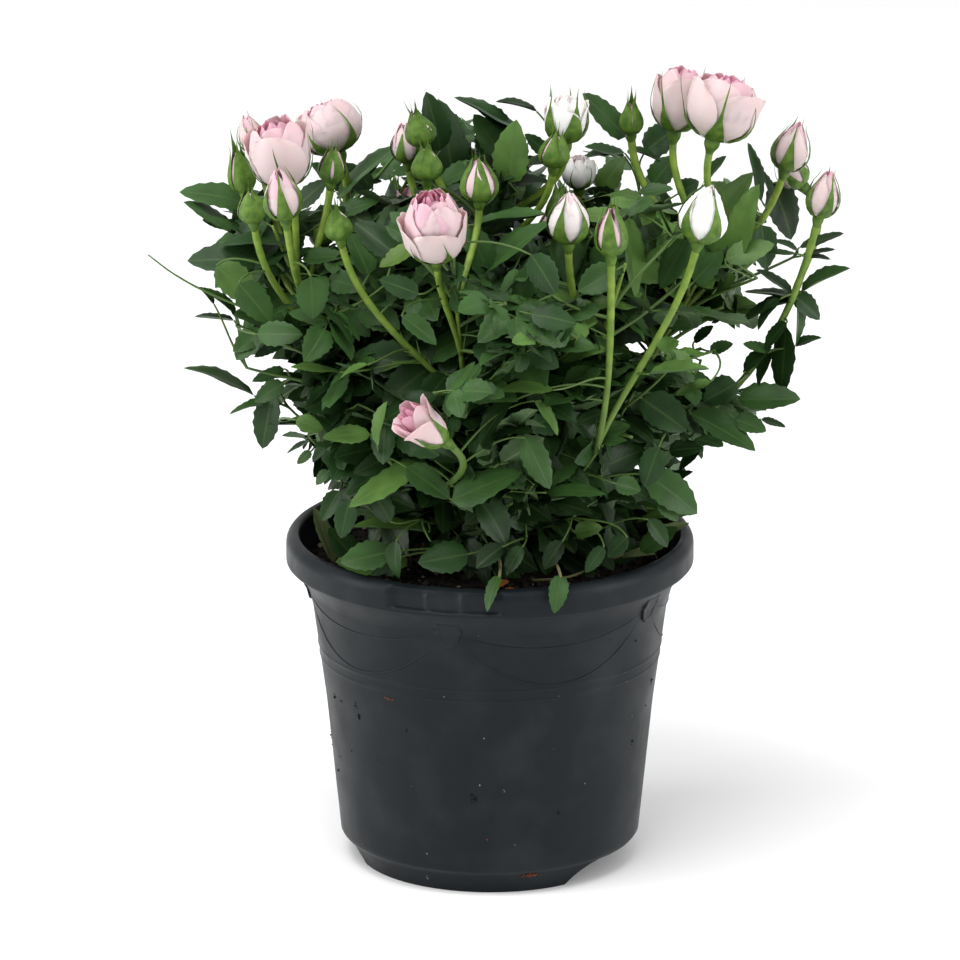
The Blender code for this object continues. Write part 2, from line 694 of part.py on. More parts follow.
def grow_leaves(mass, rng, outside):
    """Leaves at the nodes of every shoot, the outermost nodes first, until the mass has its number."""
    nodes = []
    for path, bare_end in mass.shoots:
        lengths = lengths_along(path)
        own = mass.trees[[shoot for shoot, _ in mass.shoots].index(path)]
        angle = rng.uniform(0, 2 * math.pi)
        distance = lengths[-1] - max(bare_end, 2 * MM)
        while distance > INTERNODE * 0.6:
            node, tangent = at_length(path, lengths, distance)
            nodes.append((lengths[-1] - bare_end - distance + rng.uniform(0, LEAF_SPREAD), node, tangent, angle, own))
            angle += GOLDEN_ANGLE
            distance -= INTERNODE
    placed = 0
    for _, node, tangent, angle, own in sorted(nodes, key=lambda row: row[0]):
        others = [tree for tree in mass.trees if tree is not own]
        for attempt in range(LEAF_TRIES):
            leaf = leaf_solid(node, tangent, angle + attempt * 0.9, rng, 0.975**attempt)
            if fits(mass, leaf, [*others, *outside], LEAF_OVERHANG):
                mass.add(leaf)
                placed += 1
                break
        if placed == LEAVES_PER_MASS:
            return


def main():
    clear_scene()
    plastic = material("pot_plastic", (0.045, 0.055, 0.063), 0.55)
    compost = material("potting_soil", (0.02, 0.013, 0.009), 1.0)
    bark = material("cane_bark", (0.13, 0.17, 0.05), 0.7)
    wood = material("crown_wood", (0.12, 0.08, 0.045), 0.85)
    leaf = material("rose_leaf", (0.035, 0.1, 0.02), 0.45)
    build_pot(plastic)
    build_soil(compost)
    mesh_object("crown", *crown_solid(0), wood)
    masses = plan_masses()
    plan_heads(masses)
    near_limbs = [crown_solid(2 * GAP)]
    for mass in masses:
        radii = taper(CANE_RADIUS, CANE_TIP_RADIUS, len(mass.cane))
        cane = mesh_object(f"cane_{mass.name}", *tube(mass.cane, radii, CANE_SIDES))
        boolean(cane, mesh_object("crown_cutter", *crown_solid(GAP)), "DIFFERENCE")
        cane.data.materials.clear()
        cane.data.materials.append(bark)
        cane.data.shade_smooth()
        near_limbs.append(tube(mass.cane, [radius + 2 * GAP for radius in radii], CANE_SIDES))
        frame_mass(mass)
    limbs = tree_of(near_limbs)
    for number, mass in enumerate(masses):
        outside = [limbs, *(other.guard for other in masses if other is not mass)]
        grow_twigs(mass, outside)
        grow_leaves(mass, random.Random(SEED * 1000 + number), outside)
        fused(f"foliage_{mass.name}", mass.solids, leaf)


main()
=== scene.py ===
"""The looks of a patio rose bush in its nursery pot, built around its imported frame.

The plant grows by the rule that its solids follow: canes rise from a woody crown, each carries a mass, and a
mass has one stem, a stalk to each of its flower heads, and side twigs in a spiral. Here the same shoots go
on to finer twigs and to leaves of their real size. Metres, +Z up, -Y is the side seen first; tables are in
millimetres.
"""

import itertools
import math
import random

import bpy
import numpy as np
from mathutils import Matrix, Vector


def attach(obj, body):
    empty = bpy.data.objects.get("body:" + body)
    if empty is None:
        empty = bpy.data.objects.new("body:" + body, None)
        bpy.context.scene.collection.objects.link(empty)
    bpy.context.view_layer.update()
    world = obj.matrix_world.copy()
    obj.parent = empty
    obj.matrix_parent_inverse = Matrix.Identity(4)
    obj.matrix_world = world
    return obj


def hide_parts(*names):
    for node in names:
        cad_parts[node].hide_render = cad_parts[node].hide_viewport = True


MM = 0.001
UP = Vector((0, 0, 1))
GOLDEN_ANGLE = math.radians(137.5)
SEED = 11

# View
VIEW_ELEVATION = math.radians(17)
SINE, COSINE = math.sin(VIEW_ELEVATION), math.cos(VIEW_ELEVATION)
VIEW_DISTANCE = 5.0
VIEW_TARGET = Vector((-5.6 * MM, 0, 219.5 * MM))
VIEW_LENS = 333
VIEW_SENSOR = 36
VIEW_END = 40

# Pot
RIM_RADIUS = 115 * MM
RIM_TOP = 190 * MM
LIP_INNER_RADIUS = 107.4 * MM
FOOT_RADIUS = 75 * MM
FOOT_TOP_RADIUS = 80.5 * MM
FOOT_HEIGHT = 12.5 * MM
NOTCH_AZIMUTHS = (math.radians(-17), math.radians(163))
NOTCH_HALF_ANGLE = math.radians(38)
NOTCH_DEPTH_RADIUS = 62 * MM
SOIL_TOP = 176 * MM

# Canes and masses. Sites: name, across and depth
CROWN_PROFILE = ((25, 0), (20, 5), (17, 12), (12, 18), (5, 21))
TALL_SITES = (
    ("centre", -5, 5), ("right", 135, 5), ("front_right", 75, -95), ("front_left", -20, -115),
    ("left", -118, -50), ("back_left", -90, 90), ("back", 15, 130), ("back_right", 110, 105),
)
TALL_SITE_HEIGHT = 335 * MM
TALL_ENTRY_HEIGHT = 268 * MM
TALL_ENTRY_SHARE = 0.56
TALL_APEX_HEIGHT = 402 * MM
TALL_APEX_SHARE = 1.08
TALL_FOOT_RADIUS = 10 * MM
SKIRT_COUNT = 6
SKIRT_FIRST = math.radians(-60)
SKIRT_REACH = 95 * MM
SKIRT_SITE_HEIGHT = 228 * MM
SKIRT_ENTRY_REACH = 44 * MM
SKIRT_ENTRY_HEIGHT = 212 * MM
SKIRT_APEX_REACH = 118 * MM
SKIRT_APEX_HEIGHT = 268 * MM
SKIRT_FOOT_RADIUS = 17 * MM
MASSES = [name for name, *_ in TALL_SITES] + [f"skirt_{i + 1}" for i in range(SKIRT_COUNT)]
FOLIAGE = [f"foliage_{name}" for name in MASSES]
CANES = [f"cane_{name}" for name in MASSES]
CANE_RADIUS = 3.0 * MM
CANE_TIP_RADIUS = 2.1 * MM
REACH_PROFILE = (
    (178, 98), (218, 104), (245, 142), (300, 160), (350, 170), (405, 170), (440, 146), (458, 100),
)
AXIS_LEAN = 16 * MM
BACK_FALL = 0.3
LEAF_OVERHANG = 14 * MM

# Shoots and leaves
CURVE_PULL = 0.36  # share of the distance between a curve's ends at which its handles stand
STEM_RADIUS = 2.1 * MM
STEM_TIP_RADIUS = 0.5 * MM
STALK_RADIUS = 1.6 * MM
STALK_TIP_RADIUS = 2.1 * MM
TWIG_RADIUS = 1.2 * MM
TWIG_TIP_RADIUS = 0.75 * MM
SIDE_SHOOT_TIP_RADIUS = 0.7 * MM
TWIGLET_RADII = (0.85 * MM, 0.6 * MM)
STRAY_RADII = (1.1 * MM, 0.4 * MM)
STRAY_BARE = 12 * MM
LEAF_STALK_RADII = (0.7 * MM, 0.5 * MM)
FINE_RADIUS = 1.3 * MM
LEAST_DRAWN = 3 * MM
TALL_TWIGS = 7
SKIRT_TWIGS = 6
TWIG_LENGTH = 74 * MM
TWIGLET_LENGTH = 38 * MM
TWIGLETS = 2
TWIG_MARGIN = -8 * MM  # how far outside the crown's reach a shoot may come, negative inside it
TWIGLET_MARGIN = -6 * MM
INTERNODE = 17 * MM
BARE_STALK = 30 * MM
LEAF_OPENING = (46, 68)  # degrees from the shoot
LEAF_SIZES = (0.70, 1.12)
LEAF_RISE = (-52, 8)
LEAF_RISE_GAIN = 48
LEAF_TRIES = 12
RACHIS_LENGTH = 29 * MM
RACHIS_RADIUS = 0.55 * MM
# Pairs of leaflets: share of the leaf's stalk, angle in degrees, share of the full length
LEAFLET_PAIRS = ((0.34, 74, 0.70), (0.72, 60, 0.86))
LEAFLET_LENGTH = 34 * MM
LEAFLET_WIDTH = 0.64
MAX_STEP_BACK = 70 * MM

# Flower heads: kind, across, depth and height of the base, width, length, lean to +X in degrees, nod to the
# back, and the length of stalk that stands clear of leaves
HEADS = (
    ("bloom", 123.5, -15, 421, 42, 37, 16, 0.14, 40), ("bloom", 103, 16, 418, 31, 36, 8, 0.1, 34),
    ("bloom", -111, -60, 407, 35, 38, -14, -0.03, 10), ("cup", -85, 45, 398, 37, 30, -20, 0.15, 10),
    ("opening", -112, -95, 398, 21, 29, -8, -0.12, 40), ("globe", -29.5, -120, 383, 34, 41, -4, -0.34, 75),
    ("ruffled", -25, -138, 284, 21, 31, -50, -0.25, 20), ("opening", -46, 30, 397, 17, 23, -5, -0.12, 8),
    ("bud", -37, 0, 415, 16, 20, -15, -0.12, 50), ("bud", -35, -30, 403, 16, 19, 0, -0.12, 20),
    ("parting", -6, -72, 402, 20, 25, 0, -0.12, 14), ("chalice", 42, -10, 418, 24, 27, 0, 0.08, 12),
    ("bud", 35, -25, 409, 16, 20, 4, -0.12, 45), ("bud", 79, 20, 416, 12, 19, 0, -0.12, 20),
    ("opening", 43, -85, 382, 23, 29, 0, -0.12, 22), ("parting", 66, -115, 383, 17, 29, 0, -0.12, 140),
    ("opening", 114, -90, 384, 27, 33, 12, -0.12, 112), ("opening", 165, 20, 395, 21, 29, 15, -0.12, 26),
    ("opening", 176, 46, 379, 17, 21, -40, 0, 8), ("opening", 183, -10, 376, 18, 28, 12, -0.12, 40),
    ("bud", -136, -30, 396, 14, 24, -10, -0.12, 12), ("bud", -130, -72, 390, 15, 19, -6, -0.12, 24),
    ("bud", -82, -93, 386, 14, 18, -10, -0.12, 95), ("parting", -88, -40, 404, 14, 20, 5, -0.12, 8),
    ("opening", -130, -20, 417, 15, 21, -15, -0.12, 8), ("cup", 50, 38, 380, 20, 18, 0, -0.12, 8),
)
# Heads, by their number above, whose stalk springs from elsewhere: from another mass's stem or from the
# stalk of another head, and at which share of it
LONG_STALKS = (
    (15, "skirt_1", 0.97), (16, 15, 0.05), (18, 19, 0.66), (6, "skirt_6", 0.35), (19, "skirt_2", 0.6),
    (22, "front_left", 0.12),
)
# Heads at the back: kind, azimuth in degrees, reach, height of the top, width, length
BACK_HEADS = (
    ("bud", 42, 96, 418, 15, 21), ("opening", 57.5, 140, 408, 20, 26), ("bud", 73, 76, 424, 13, 19),
    ("opening", 80, 126, 412, 22, 28), ("bloom", 104, 96, 418, 36, 36), ("bud", 119.5, 140, 408, 14, 20),
    ("bloom", 131, 76, 424, 34, 34), ("bud", 150.5, 126, 412, 13, 18), ("bud", 166, 96, 418, 14, 20),
)
BACK_DROP = 46 * MM
BACK_MARGIN = 18 * MM
HEAD_GRIP = 0.12  # share of a head's length that its stalk reaches into it
STALK_SAG = 0.9
STALK_SAG_REACH = (35 * MM, 95 * MM)
STALK_LOW_SHARE = 0.1
STALK_SHARE_SPREAD = 0.6
STRAY_TIPS = {"left": (Vector((-190 * MM, -25 * MM, 358 * MM)), Vector((-0.8, 0, 0.75)))}

# Leafy side shoots that reach the crown's edge: places of the tips, by mass
EDGE_SHOOT_RISE = 40 * MM
EDGE_TIPS = {
    "right": (
        (176, 4, 352), (180, -14, 342), (165, -12, 316), (168, 18, 332), (158, -34, 352), (150, 0, 270),
        (136, -14, 248), (142, -22, 388), (152, 4, 402), (94, -14, 408),
    ),
    "front_right": ((118, -60, 262), (136, -62, 318), (104, -70, 384)),
    "centre": ((-28, 6, 436), (-14, 22, 428), (8, -4, 416), (-58, -4, 408), (28, -30, 404)),
    "front_left": ((-56, -88, 392), (-6, -96, 396)),
    "left": ((-141, -48, 384), (-148, -30, 384), (-146, -44, 326), (-142, -30, 296), (-118, -42, 266)),
}
# Low shoots of each short cane: share of it where they spring, turn from it, reach and height of the tip
LOW_SHOOT_LIFT = 20 * MM
LOW_SHOOTS = (
    (0.30, 0.30, 74 * MM, 203 * MM),
    (0.45, -0.28, 84 * MM, 212 * MM),
    (0.60, 0.05, 88 * MM, 222 * MM),
)
# Windows through the crown, as seen from the front: middle across and level, half width, half height
SKY_WINDOWS = (
    (112, 394, 10, 15), (121, 361, 8, 11), (17, 412, 10, 11), (48, 386, 8, 9), (132, 275, 11, 7),
    (164, 327, 8, 10), (22, 359, 6, 7), (155, 295, 7, 8), (175, 349, 4, 7), (43, 364, 4, 7),
    (118, 291, 6, 5), (152, 318, 9, 4), (82, 374, 4, 5), (-96, 372, 4, 6), (133, 289, 4, 7),
    (-93, 345, 5, 7), (-55, 381, 4, 4), (-120, 278, 6, 4), (143, 287, 5, 4), (83, 284, 4, 5),
    (152, 266, 6, 3), (-115, 248, 4, 5), (78, 219, 3, 4),
)
WINDOW_MARGIN = 1.5 * MM
STALK_CLEARANCE = 4.5 * MM
# Leaves are drawn in below these heights, by the pot's middle and less towards its sides
TUCK = 11 * MM
TUCK_HEIGHTS = (288 * MM, 250 * MM)
TUCK_SIDES = (130 * MM, 80 * MM)
OVER_EDGE = 2 * MM
LIP_CLEARANCE = 3 * MM
RIM_CLEARANCE = 14 * MM
# The highest a leaf may show, as seen from the front, at places across
LEAF_CEILING = (
    (-170, 374), (-130, 382), (-95, 382), (-84, 388), (-67, 402), (-50, 407), (-38, 424), (-11, 424),
    (8, 408), (28, 396), (44, 396), (54, 401), (64, 403), (74, 405), (84, 402), (92, 408), (99, 380),
    (114, 374), (124, 388), (140, 384), (150, 368), (160, 372), (172, 358), (200, 346),
)
# How far leaves may show to the left and right, as seen from the front: level, left, right
LEAF_SIDES = (
    (187, -90, 112), (199, -93, 115), (210, -96, 109), (227, -106, 120), (232, -112, 147), (241, -126, 155),
    (255, -128, 166), (276, -123, 166), (283, -143, 169), (311, -148, 174), (332, -156, 164),
    (348, -151, 159), (379, -147, 160),
)
PLACED_SLANT = 0.15  # how much nearer its tip is, as a share of the length seen
PLACED_SHAPE = 0.55  # width over length of one that is turned edgeways
# Leaves that have their own places, as seen from the front: root across and level, tip across and level,
# depth, width seen, and green from 0, in shadow, to 4, young
PLACED_LEAVES = (
    (-135, 363, -169, 375, -20, 15, 2), (-141, 347, -167, 367, -25, 8, 2),
    (-128, 332, -167, 332, -53, 19, 1), (-151, 328, -128, 307, -68, 19, 3),
    (-109, 341, -148, 344, -77, 8, 1), (-104, 332, -80, 335, -113, 10, 2), (-86, 369, -55, 400, -20, 10, 2),
    (-66, 375, -82, 390, 0, 11, 1), (-85, 357, -64, 368, -80, 9, 2), (-39, 339, -61, 327, -133, 10, 4),
    (-28, 394, -33, 425, 5, 15, 1), (-21, 376, -24, 422, -5, 21, 1), (17, 403, -19, 424, 0, 7, 1),
    (11, 375, 13, 408, -20, 21, 3), (6, 391, -8, 413, 5, 15, 2), (26, 415, 5, 424, 5, 3, 0),
    (-13, 349, 5, 317, -142, 16, 2), (-4, 323, 31, 354, -141, 12, 2), (-11, 349, 31, 356, -119, 6, 2),
    (-28, 375, -6, 387, -60, 10, 2), (39, 346, 46, 318, -140, 21, 2), (76, 402, 52, 426, 0, 16, 2),
    (76, 392, 53, 397, 0, 6, 1), (62, 372, 74, 391, -10, 15, 3), (87, 394, 105, 409, 20, 18, 1),
    (91, 375, 102, 391, -40, 15, 2), (78, 395, 100, 391, 0, 5, 1), (105, 370, 117, 377, -20, 12, 1),
    (84, 370, 102, 373, -60, 7, 2), (120, 375, 131, 391, -30, 5, 2), (125, 336, 138, 381, -50, 18, 3),
    (136, 332, 146, 373, -40, 13, 3), (152, 366, 143, 398, 0, 7, 1), (158, 367, 152, 385, 0, 4, 0),
    (159, 377, 173, 346, -10, 20, 0), (172, 338, 160, 346, 0, 3, 1), (173, 340, 197, 349, 0, 5, 1),
    (174, 335, 192, 341, 0, 3, 1), (174, 335, 190, 336, 0, 3, 1), (171, 336, 150, 336, -10, 3, 1),
    (151, 352, 155, 327, -10, 16, 1), (169, 314, 150, 329, -10, 7, 1), (130, 332, 156, 341, -50, 13, 3),
    (109, 343, 93, 316, -121, 16, 2), (112, 319, 127, 335, -110, 15, 2), (75, 355, 83, 310, -131, 13, 3),
    (174, 315, 199, 331, 0, 7, 2), (169, 314, 186, 301, 0, 12, 1), (170, 311, 139, 302, -10, 8, 1),
    (172, 312, 142, 316, 0, 4, 2), (172, 311, 173, 285, -10, 7, 2), (171, 285, 184, 292, 0, 5, 1),
    (166, 296, 163, 256, 0, 12, 1), (166, 298, 152, 285, -10, 7, 1), (139, 255, 174, 255, -10, 16, 2),
    (138, 264, 119, 254, -20, 17, 1), (112, 247, 150, 229, -20, 15, 2), (152, 244, 166, 240, -10, 4, 1),
    (137, 244, 155, 238, -15, 12, 2), (87, 268, 120, 272, -111, 6, 3), (121, 264, 102, 256, -102, 6, 3),
    (87, 213, 117, 193, -57, 21, 2), (69, 208, 83, 204, -103, 13, 2), (100, 226, 119, 229, -30, 11, 1),
    (84, 255, 109, 237, -70, 22, 1), (114, 191, 83, 193, -28, 7, 3), (-98, 321, -97, 298, -110, 21, 2),
    (-128, 290, -103, 290, -93, 15, 2), (-128, 294, -142, 277, -30, 15, 2),
    (-138, 318, -120, 296, -82, 19, 2), (-143, 299, -165, 302, -10, 4, 1),
    (-132, 257, -166, 280, -10, 6, 2), (-115, 272, -133, 265, -20, 8, 2), (-124, 253, -146, 251, -20, 6, 2),
    (-121, 258, -130, 227, -20, 16, 1), (-115, 264, -132, 254, -30, 11, 2),
    (-107, 241, -124, 241, -20, 3, 2), (-103, 232, -114, 225, -20, 3, 1), (-107, 243, -92, 238, -94, 10, 3),
    (-66, 235, -92, 235, -107, 11, 3), (-62, 229, -58, 253, -119, 7, 3), (-39, 219, -78, 195, -109, 16, 3),
    (-49, 282, -35, 277, -133, 6, 3), (-35, 277, -3, 297, -140, 15, 2), (-48, 299, -28, 285, -137, 12, 2),
    (-35, 277, -66, 274, -130, 8, 3), (-67, 273, -83, 268, -119, 4, 3), (-82, 269, -109, 274, -107, 3, 3),
    (34, 259, 6, 264, -137, 7, 3), (24, 253, 40, 237, -132, 6, 3), (31, 317, 52, 309, -140, 10, 3),
    (69, 325, 48, 313, -137, 17, 2), (19, 233, 33, 205, -124, 16, 2), (63, 282, 39, 274, -135, 8, 3),
    (-21, 199, 16, 216, -122, 19, 2), (-46, 217, -22, 200, -117, 16, 2), (12, 253, -9, 232, -133, 10, 1),
    (31, 203, 62, 208, -115, 8, 2), (-34, 181, -75, 189, -73, 6, 3), (-6, 199, 12, 175, -95, 19, 1),
    (47, 181, 62, 184, -74, 10, 3), (-84, 204, -94, 187, -42, 11, 1), (-55, 187, -66, 206, -92, 12, 1),
    (93, 228, 84, 206, -100, 15, 1), (-39, 311, -60, 319, -134, 13, 1), (22, 300, 47, 296, -141, 15, 1),
    (22, 332, 37, 311, -142, 17, 1), (-142, 303, -160, 318, -20, 5, 2), (-127, 291, -144, 283, -30, 12, 2),
    (-81, 373, -98, 390, 0, 11, 2), (-82, 384, -70, 373, 0, 10, 1), (-100, 226, -108, 219, -30, 6, 2),
    (-90, 215, -98, 208, -40, 7, 2), (162, 311, 147, 296, -10, 7, 1), (157, 282, 142, 287, -10, 6, 2),
    (142, 271, 157, 285, -10, 7, 1), (-55, 170, -83, 164, -84, 17, 2), (-52, 176, -54, 155, -92, 10, 1),
    (7, 173, -9, 163, -100, 12, 0), (18, 173, 7, 158, -100, 10, 1), (63, 173, 52, 159, -95, 9, 1),
    (88, 188, 100, 173, -62, 10, 1), (-109, 364, -92, 380, -10, 12, 1), (12, 403, -9, 420, 0, 10, 1),
    (33, 390, 21, 403, 0, 9, 1), (-78, 199, -84, 177, -60, 13, 1), (-12, 169, -40, 164, -96, 19, 1),
    (-33, 176, -20, 160, -90, 9, 0), (76, 178, 64, 168, -85, 11, 1), (40, 176, 29, 161, -95, 11, 0),
    (-53, 166, -66, 157, -80, 8, 1), (93, 199, 105, 187, -60, 9, 2), (123, 282, 136, 286, -10, 8, 2),
    (114, 287, 125, 296, -10, 6, 1), (114, 296, 97, 297, -20, 6, 2), (159, 282, 147, 263, -5, 7, 1),
    (121, 238, 147, 229, -15, 8, 2), (119, 229, 106, 215, -20, 6, 1), (-115, 286, -132, 281, -30, 8, 1),
    (-143, 349, -159, 355, -30, 7, 2), (-142, 301, -148, 313, -20, 4, 2), (-154, 308, -161, 318, -15, 3, 2),
    (76, 394, 52, 395, 10, 6, 1),
)
# Leaves by the pot's edge and on the soil: root, tip, the way the face looks, material, width over length
LOW_LEAVES = (
    ((5, -107, 197), (-4, -121, 184), (-0.3, -0.5, 0.8), "leaf_full", 0.42),
    ((39, -106, 197), (36, -121, 181), (0.1, -0.7, 0.6), "leaf_full", 0.52),
    ((-60, -50, 184), (-86, -58, 190), (0, -0.5, 0.8), "leaf_fresh", 0.6),
    ((-88, -28, 180), (-97, -15, 209), (0.9, -0.6, 0.0), "faded_leaf", 0.5),
    ((-72, -44, 182), (-90, -40, 204), (0.5, -0.8, 0.2), "leaf_deep", 0.6),
    ((-46, -62, 192), (-66, -78, 203), (0.1, -0.6, 0.8), "leaf_fresh", 0.6),
    ((86, -22, 188), (112, -10, 199), (0, -0.3, 0.9), "faded_leaf", 0.4),
    ((74, -32, 184), (92, -38, 190), (0.1, -0.4, 0.9), "faded_leaf", 0.4),
    ((84, -46, 192), (104, -42, 206), (0.2, -0.5, 0.8), "leaf_full", 0.6),
    ((86, -10, 205), (113, -6, 209), (0.2, -0.4, 0.9), "leaf_full", 0.6),
    ((-2, -80, 181), (10, -84, 187), (0.2, -0.5, 0.8), "dry_leaf", 0.5),
    ((16, -86, 181), (6, -92, 184), (-0.3, -0.5, 0.8), "dry_leaf", 0.5),
    ((-74, -12, 178), (-66, -2, 180), (0.2, -0.4, 0.8), "dry_leaf", 0.6),
    ((30, 52, 178), (46, 66, 180), (0, 0.4, 0.8), "dry_leaf", 0.6),
    ((-40, 60, 178), (-52, 72, 180), (0.3, 0.3, 0.8), "dry_leaf", 0.6),
)
# Bare pieces of stalk that lie on the soil: places along each
LYING_STALKS = (
    ((4, -62, 192), (5, -84, 200), (6, -98, 200), (5, -108, 196)),
    ((28, -62, 192), (34, -86, 200), (38, -99, 200), (39, -107, 196)),
    ((20, -53, 177), (33, -58, 179), (44, -55, 179), (66, -32, 182)),
    ((64, -30, 181), (76, -26, 184), (90, -21, 188)), ((-30, 66, 177), (-12, 72, 179), (8, 70, 178)),
)


# ---------------------------------------------------------------- arrays and meshes


def mm(table):
    """The columns of a table in millimetres, in metres."""
    return np.array(table, float).T * MM


def rows_of(vectors):
    """Vectors as the rows of an array."""
    return np.array([vector[:] for vector in vectors])


def unit(vectors):
    """Vectors over their lengths."""
    return vectors / np.maximum(np.linalg.norm(vectors, axis=-1, keepdims=True), 1e-12)


def smooth(low, high, x):
    """0 below low, 1 above high, an S curve between."""
    t = np.clip((x - low) / (high - low), 0, 1)
    return t * t * (3 - 2 * t)


def circle(sides):
    """Angles evenly round a circle."""
    return 2 * np.pi * np.arange(sides) / sides


def polar(radius, angle, height):
    """Points at a radius and an angle from the upright axis, at a height."""
    return np.stack(np.broadcast_arrays(radius * np.cos(angle), radius * np.sin(angle), height), -1)


def shares(down, across):
    """Two flat arrays over a grid, row by row: each point's value from down and from across."""
    return [part.reshape(-1) for part in np.meshgrid(down, across, indexing="ij")]


class Batch:
    """Points and faces of many shapes, gathered to become one mesh."""

    def __init__(self):
        self.points, self.faces, self.slots, self.maps, self.tints, self.count = [], [], [], [], [], 0

    def add(self, points, faces, slots=0, place=None, tint=None):
        """Adds copies of one topology: points (copies, k, 3) or (k, 3), a list of face arrays, and slots.

        slots may also be (copies, faces). place is (k, 2) or (copies, k, 2), tint (copies, k, 3).
        """
        points = np.asarray(points, float)
        points = points.reshape(-1, *points.shape[-2:])
        copies, k = points.shape[:2]
        start = self.count + k * np.arange(copies)
        sizes = [len(group) for group in faces]
        slots = np.asarray(slots)
        slots = slots if slots.ndim == 2 else slots.reshape(-1, 1)
        slots = np.broadcast_to(slots, (copies, sum(sizes)))
        for group, part in zip(faces, np.split(slots, np.cumsum(sizes)[:-1], axis=1)):
            group = np.asarray(group)
            self.faces.append((group[None] + start[:, None, None]).reshape(-1, group.shape[1]))
            self.slots.append(part.reshape(-1))
        self.points.append(points.reshape(-1, 3))
        if place is not None:
            self.maps.append(np.broadcast_to(place, (copies, k, 2)).reshape(-1, 2))
        if tint is not None:
            self.tints.append(np.broadcast_to(tint, (copies, k, 3)).reshape(-1, 3))
        self.count += copies * k
        return self

    def build(self, name, materials, nodes=FOLIAGE, slot="rose_leaf", sharp=None):
        """The mesh object, riding on the part's one body in place of some nodes.

        sharp is the angle in degrees past which an edge is crisp.
        """
        loops = np.concatenate([group.reshape(-1) for group in self.faces])
        totals = np.concatenate([np.full(len(group), group.shape[1]) for group in self.faces])
        mesh = bpy.data.meshes.new(name)
        mesh.vertices.add(self.count)
        mesh.vertices.foreach_set("co", np.concatenate(self.points).reshape(-1).astype(np.float32))
        mesh.loops.add(len(loops))
        mesh.loops.foreach_set("vertex_index", loops.astype(np.int32))
        mesh.polygons.add(len(totals))
        mesh.polygons.foreach_set("loop_start", (np.cumsum(totals) - totals).astype(np.int32))
        for made in materials:
            mesh.materials.append(KIT[made])
        mesh.polygons.foreach_set("material_index", np.concatenate(self.slots).astype(np.int32))
        mesh.update(calc_edges=True)
        if self.maps:
            layer = mesh.uv_layers.new(name="surface")
            layer.uv.foreach_set("vector", np.concatenate(self.maps)[loops].reshape(-1).astype(np.float32))
        if self.tints:
            tint = np.concatenate(self.tints)
            colours = mesh.color_attributes.new("tint", "FLOAT_COLOR", "POINT")
            colours.data.foreach_set("color", np.c_[tint, np.ones(len(tint))].reshape(-1).astype(np.float32))
        mesh.shade_smooth()
        if sharp is not None:
            mesh.set_sharp_from_angle(angle=math.radians(sharp))
        made = bpy.data.objects.new(name, mesh)
        bpy.context.scene.collection.objects.link(made)
        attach(made, "root")
        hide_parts(*nodes)


def grid_faces(rows, columns, around=False):
    """Quads between the points of a grid, laid out row by row, closed round its columns where asked."""
    last = columns if around else columns - 1
    r, c = np.meshgrid(np.arange(rows - 1), np.arange(last), indexing="ij")
    a, b = r * columns + c, r * columns + (c + 1) % columns
    return np.stack([a, b, b + columns, a + columns], -1).reshape(-1, 4)


def tube_faces(rings, sides):
    """Faces of a closed tube whose end caps meet at two more points, after the rings."""
    k = np.arange(sides)
    first, last, tip = rings * sides, rings * sides + 1, (rings - 1) * sides
    low = np.stack([np.full(sides, first), (k + 1) % sides, k], -1)
    high = np.stack([np.full(sides, last), tip + k, tip + (k + 1) % sides], -1)
    return [grid_faces(rings, sides, around=True), np.concatenate([low, high])]


def tubes(paths, radii, sides):
    """Points and faces of closed tubes along paths of as many points, (copies, points, 3), or along one.

    At each point of a path stands a circle of that point's radius, square to the path and turned as little
    as it can be from the circle before it. radii is (copies, points), or has a last axis of sides for a
    lumpy tube.
    """
    if paths.ndim == 2:
        paths, radii = paths[None], radii[None]
    radii = radii.reshape(*paths.shape[:2], -1)
    tangents = unit(np.gradient(paths, axis=1))
    across = np.where(np.abs(tangents[:, :1, 2:3]) < 0.9, [[[0.0, 0.0, 1.0]]], [[[1.0, 0.0, 0.0]]])[:, 0]
    normal = unit(np.cross(tangents[:, 0], across))
    normals = []
    for i in range(paths.shape[1]):
        along = tangents[:, i]
        normal = unit(normal - along * (normal * along).sum(-1, keepdims=True))
        normals.append(normal)
    normals = np.stack(normals, 1)
    binormals = np.cross(tangents, normals)
    turn = circle(sides)[:, None]
    ring = normals[:, :, None] * np.cos(turn) + binormals[:, :, None] * np.sin(turn)
    points = (paths[:, :, None] + ring * radii[..., None]).reshape(len(paths), -1, 3)
    return np.concatenate([points, paths[:, :1], paths[:, -1:]], 1), tube_faces(paths.shape[1], sides)


def turned(rings, low, high):
    """Points and faces of a closed shell: rings, (rings, sides, 3), and the axis's points low and high."""
    points = np.concatenate([rings.reshape(-1, 3), [[0, 0, low], [0, 0, high]]])
    return points, tube_faces(*rings.shape[:2])


def sheets(points, rows, columns, thickness):
    """Points and faces of thin closed sheets, from their upper sides' points, (copies, rows * columns, 3).

    The lower side shares the upper one's border and lies a thickness behind it along its normals. Its inner
    points follow all of the upper side's.
    """
    grid = points.reshape(len(points), rows, columns, 3)
    down, side = np.gradient(grid, axis=1), np.gradient(grid, axis=2)
    inner = (grid - unit(np.cross(side, down)) * thickness)[:, 1:-1, 1:-1].reshape(len(points), -1, 3)
    upper = grid_faces(rows, columns)
    lower = np.arange(rows * columns).reshape(rows, columns)
    lower[1:-1, 1:-1] = rows * columns + np.arange(inner.shape[1]).reshape(rows - 2, columns - 2)
    return np.concatenate([points, inner], 1), [upper, lower.reshape(-1)[upper][:, ::-1]]


def along_path(points, places, at):
    """The path at some places along it, where at says how far along its own points are."""
    return np.stack([np.interp(places, at, column) for column in points.T], -1)


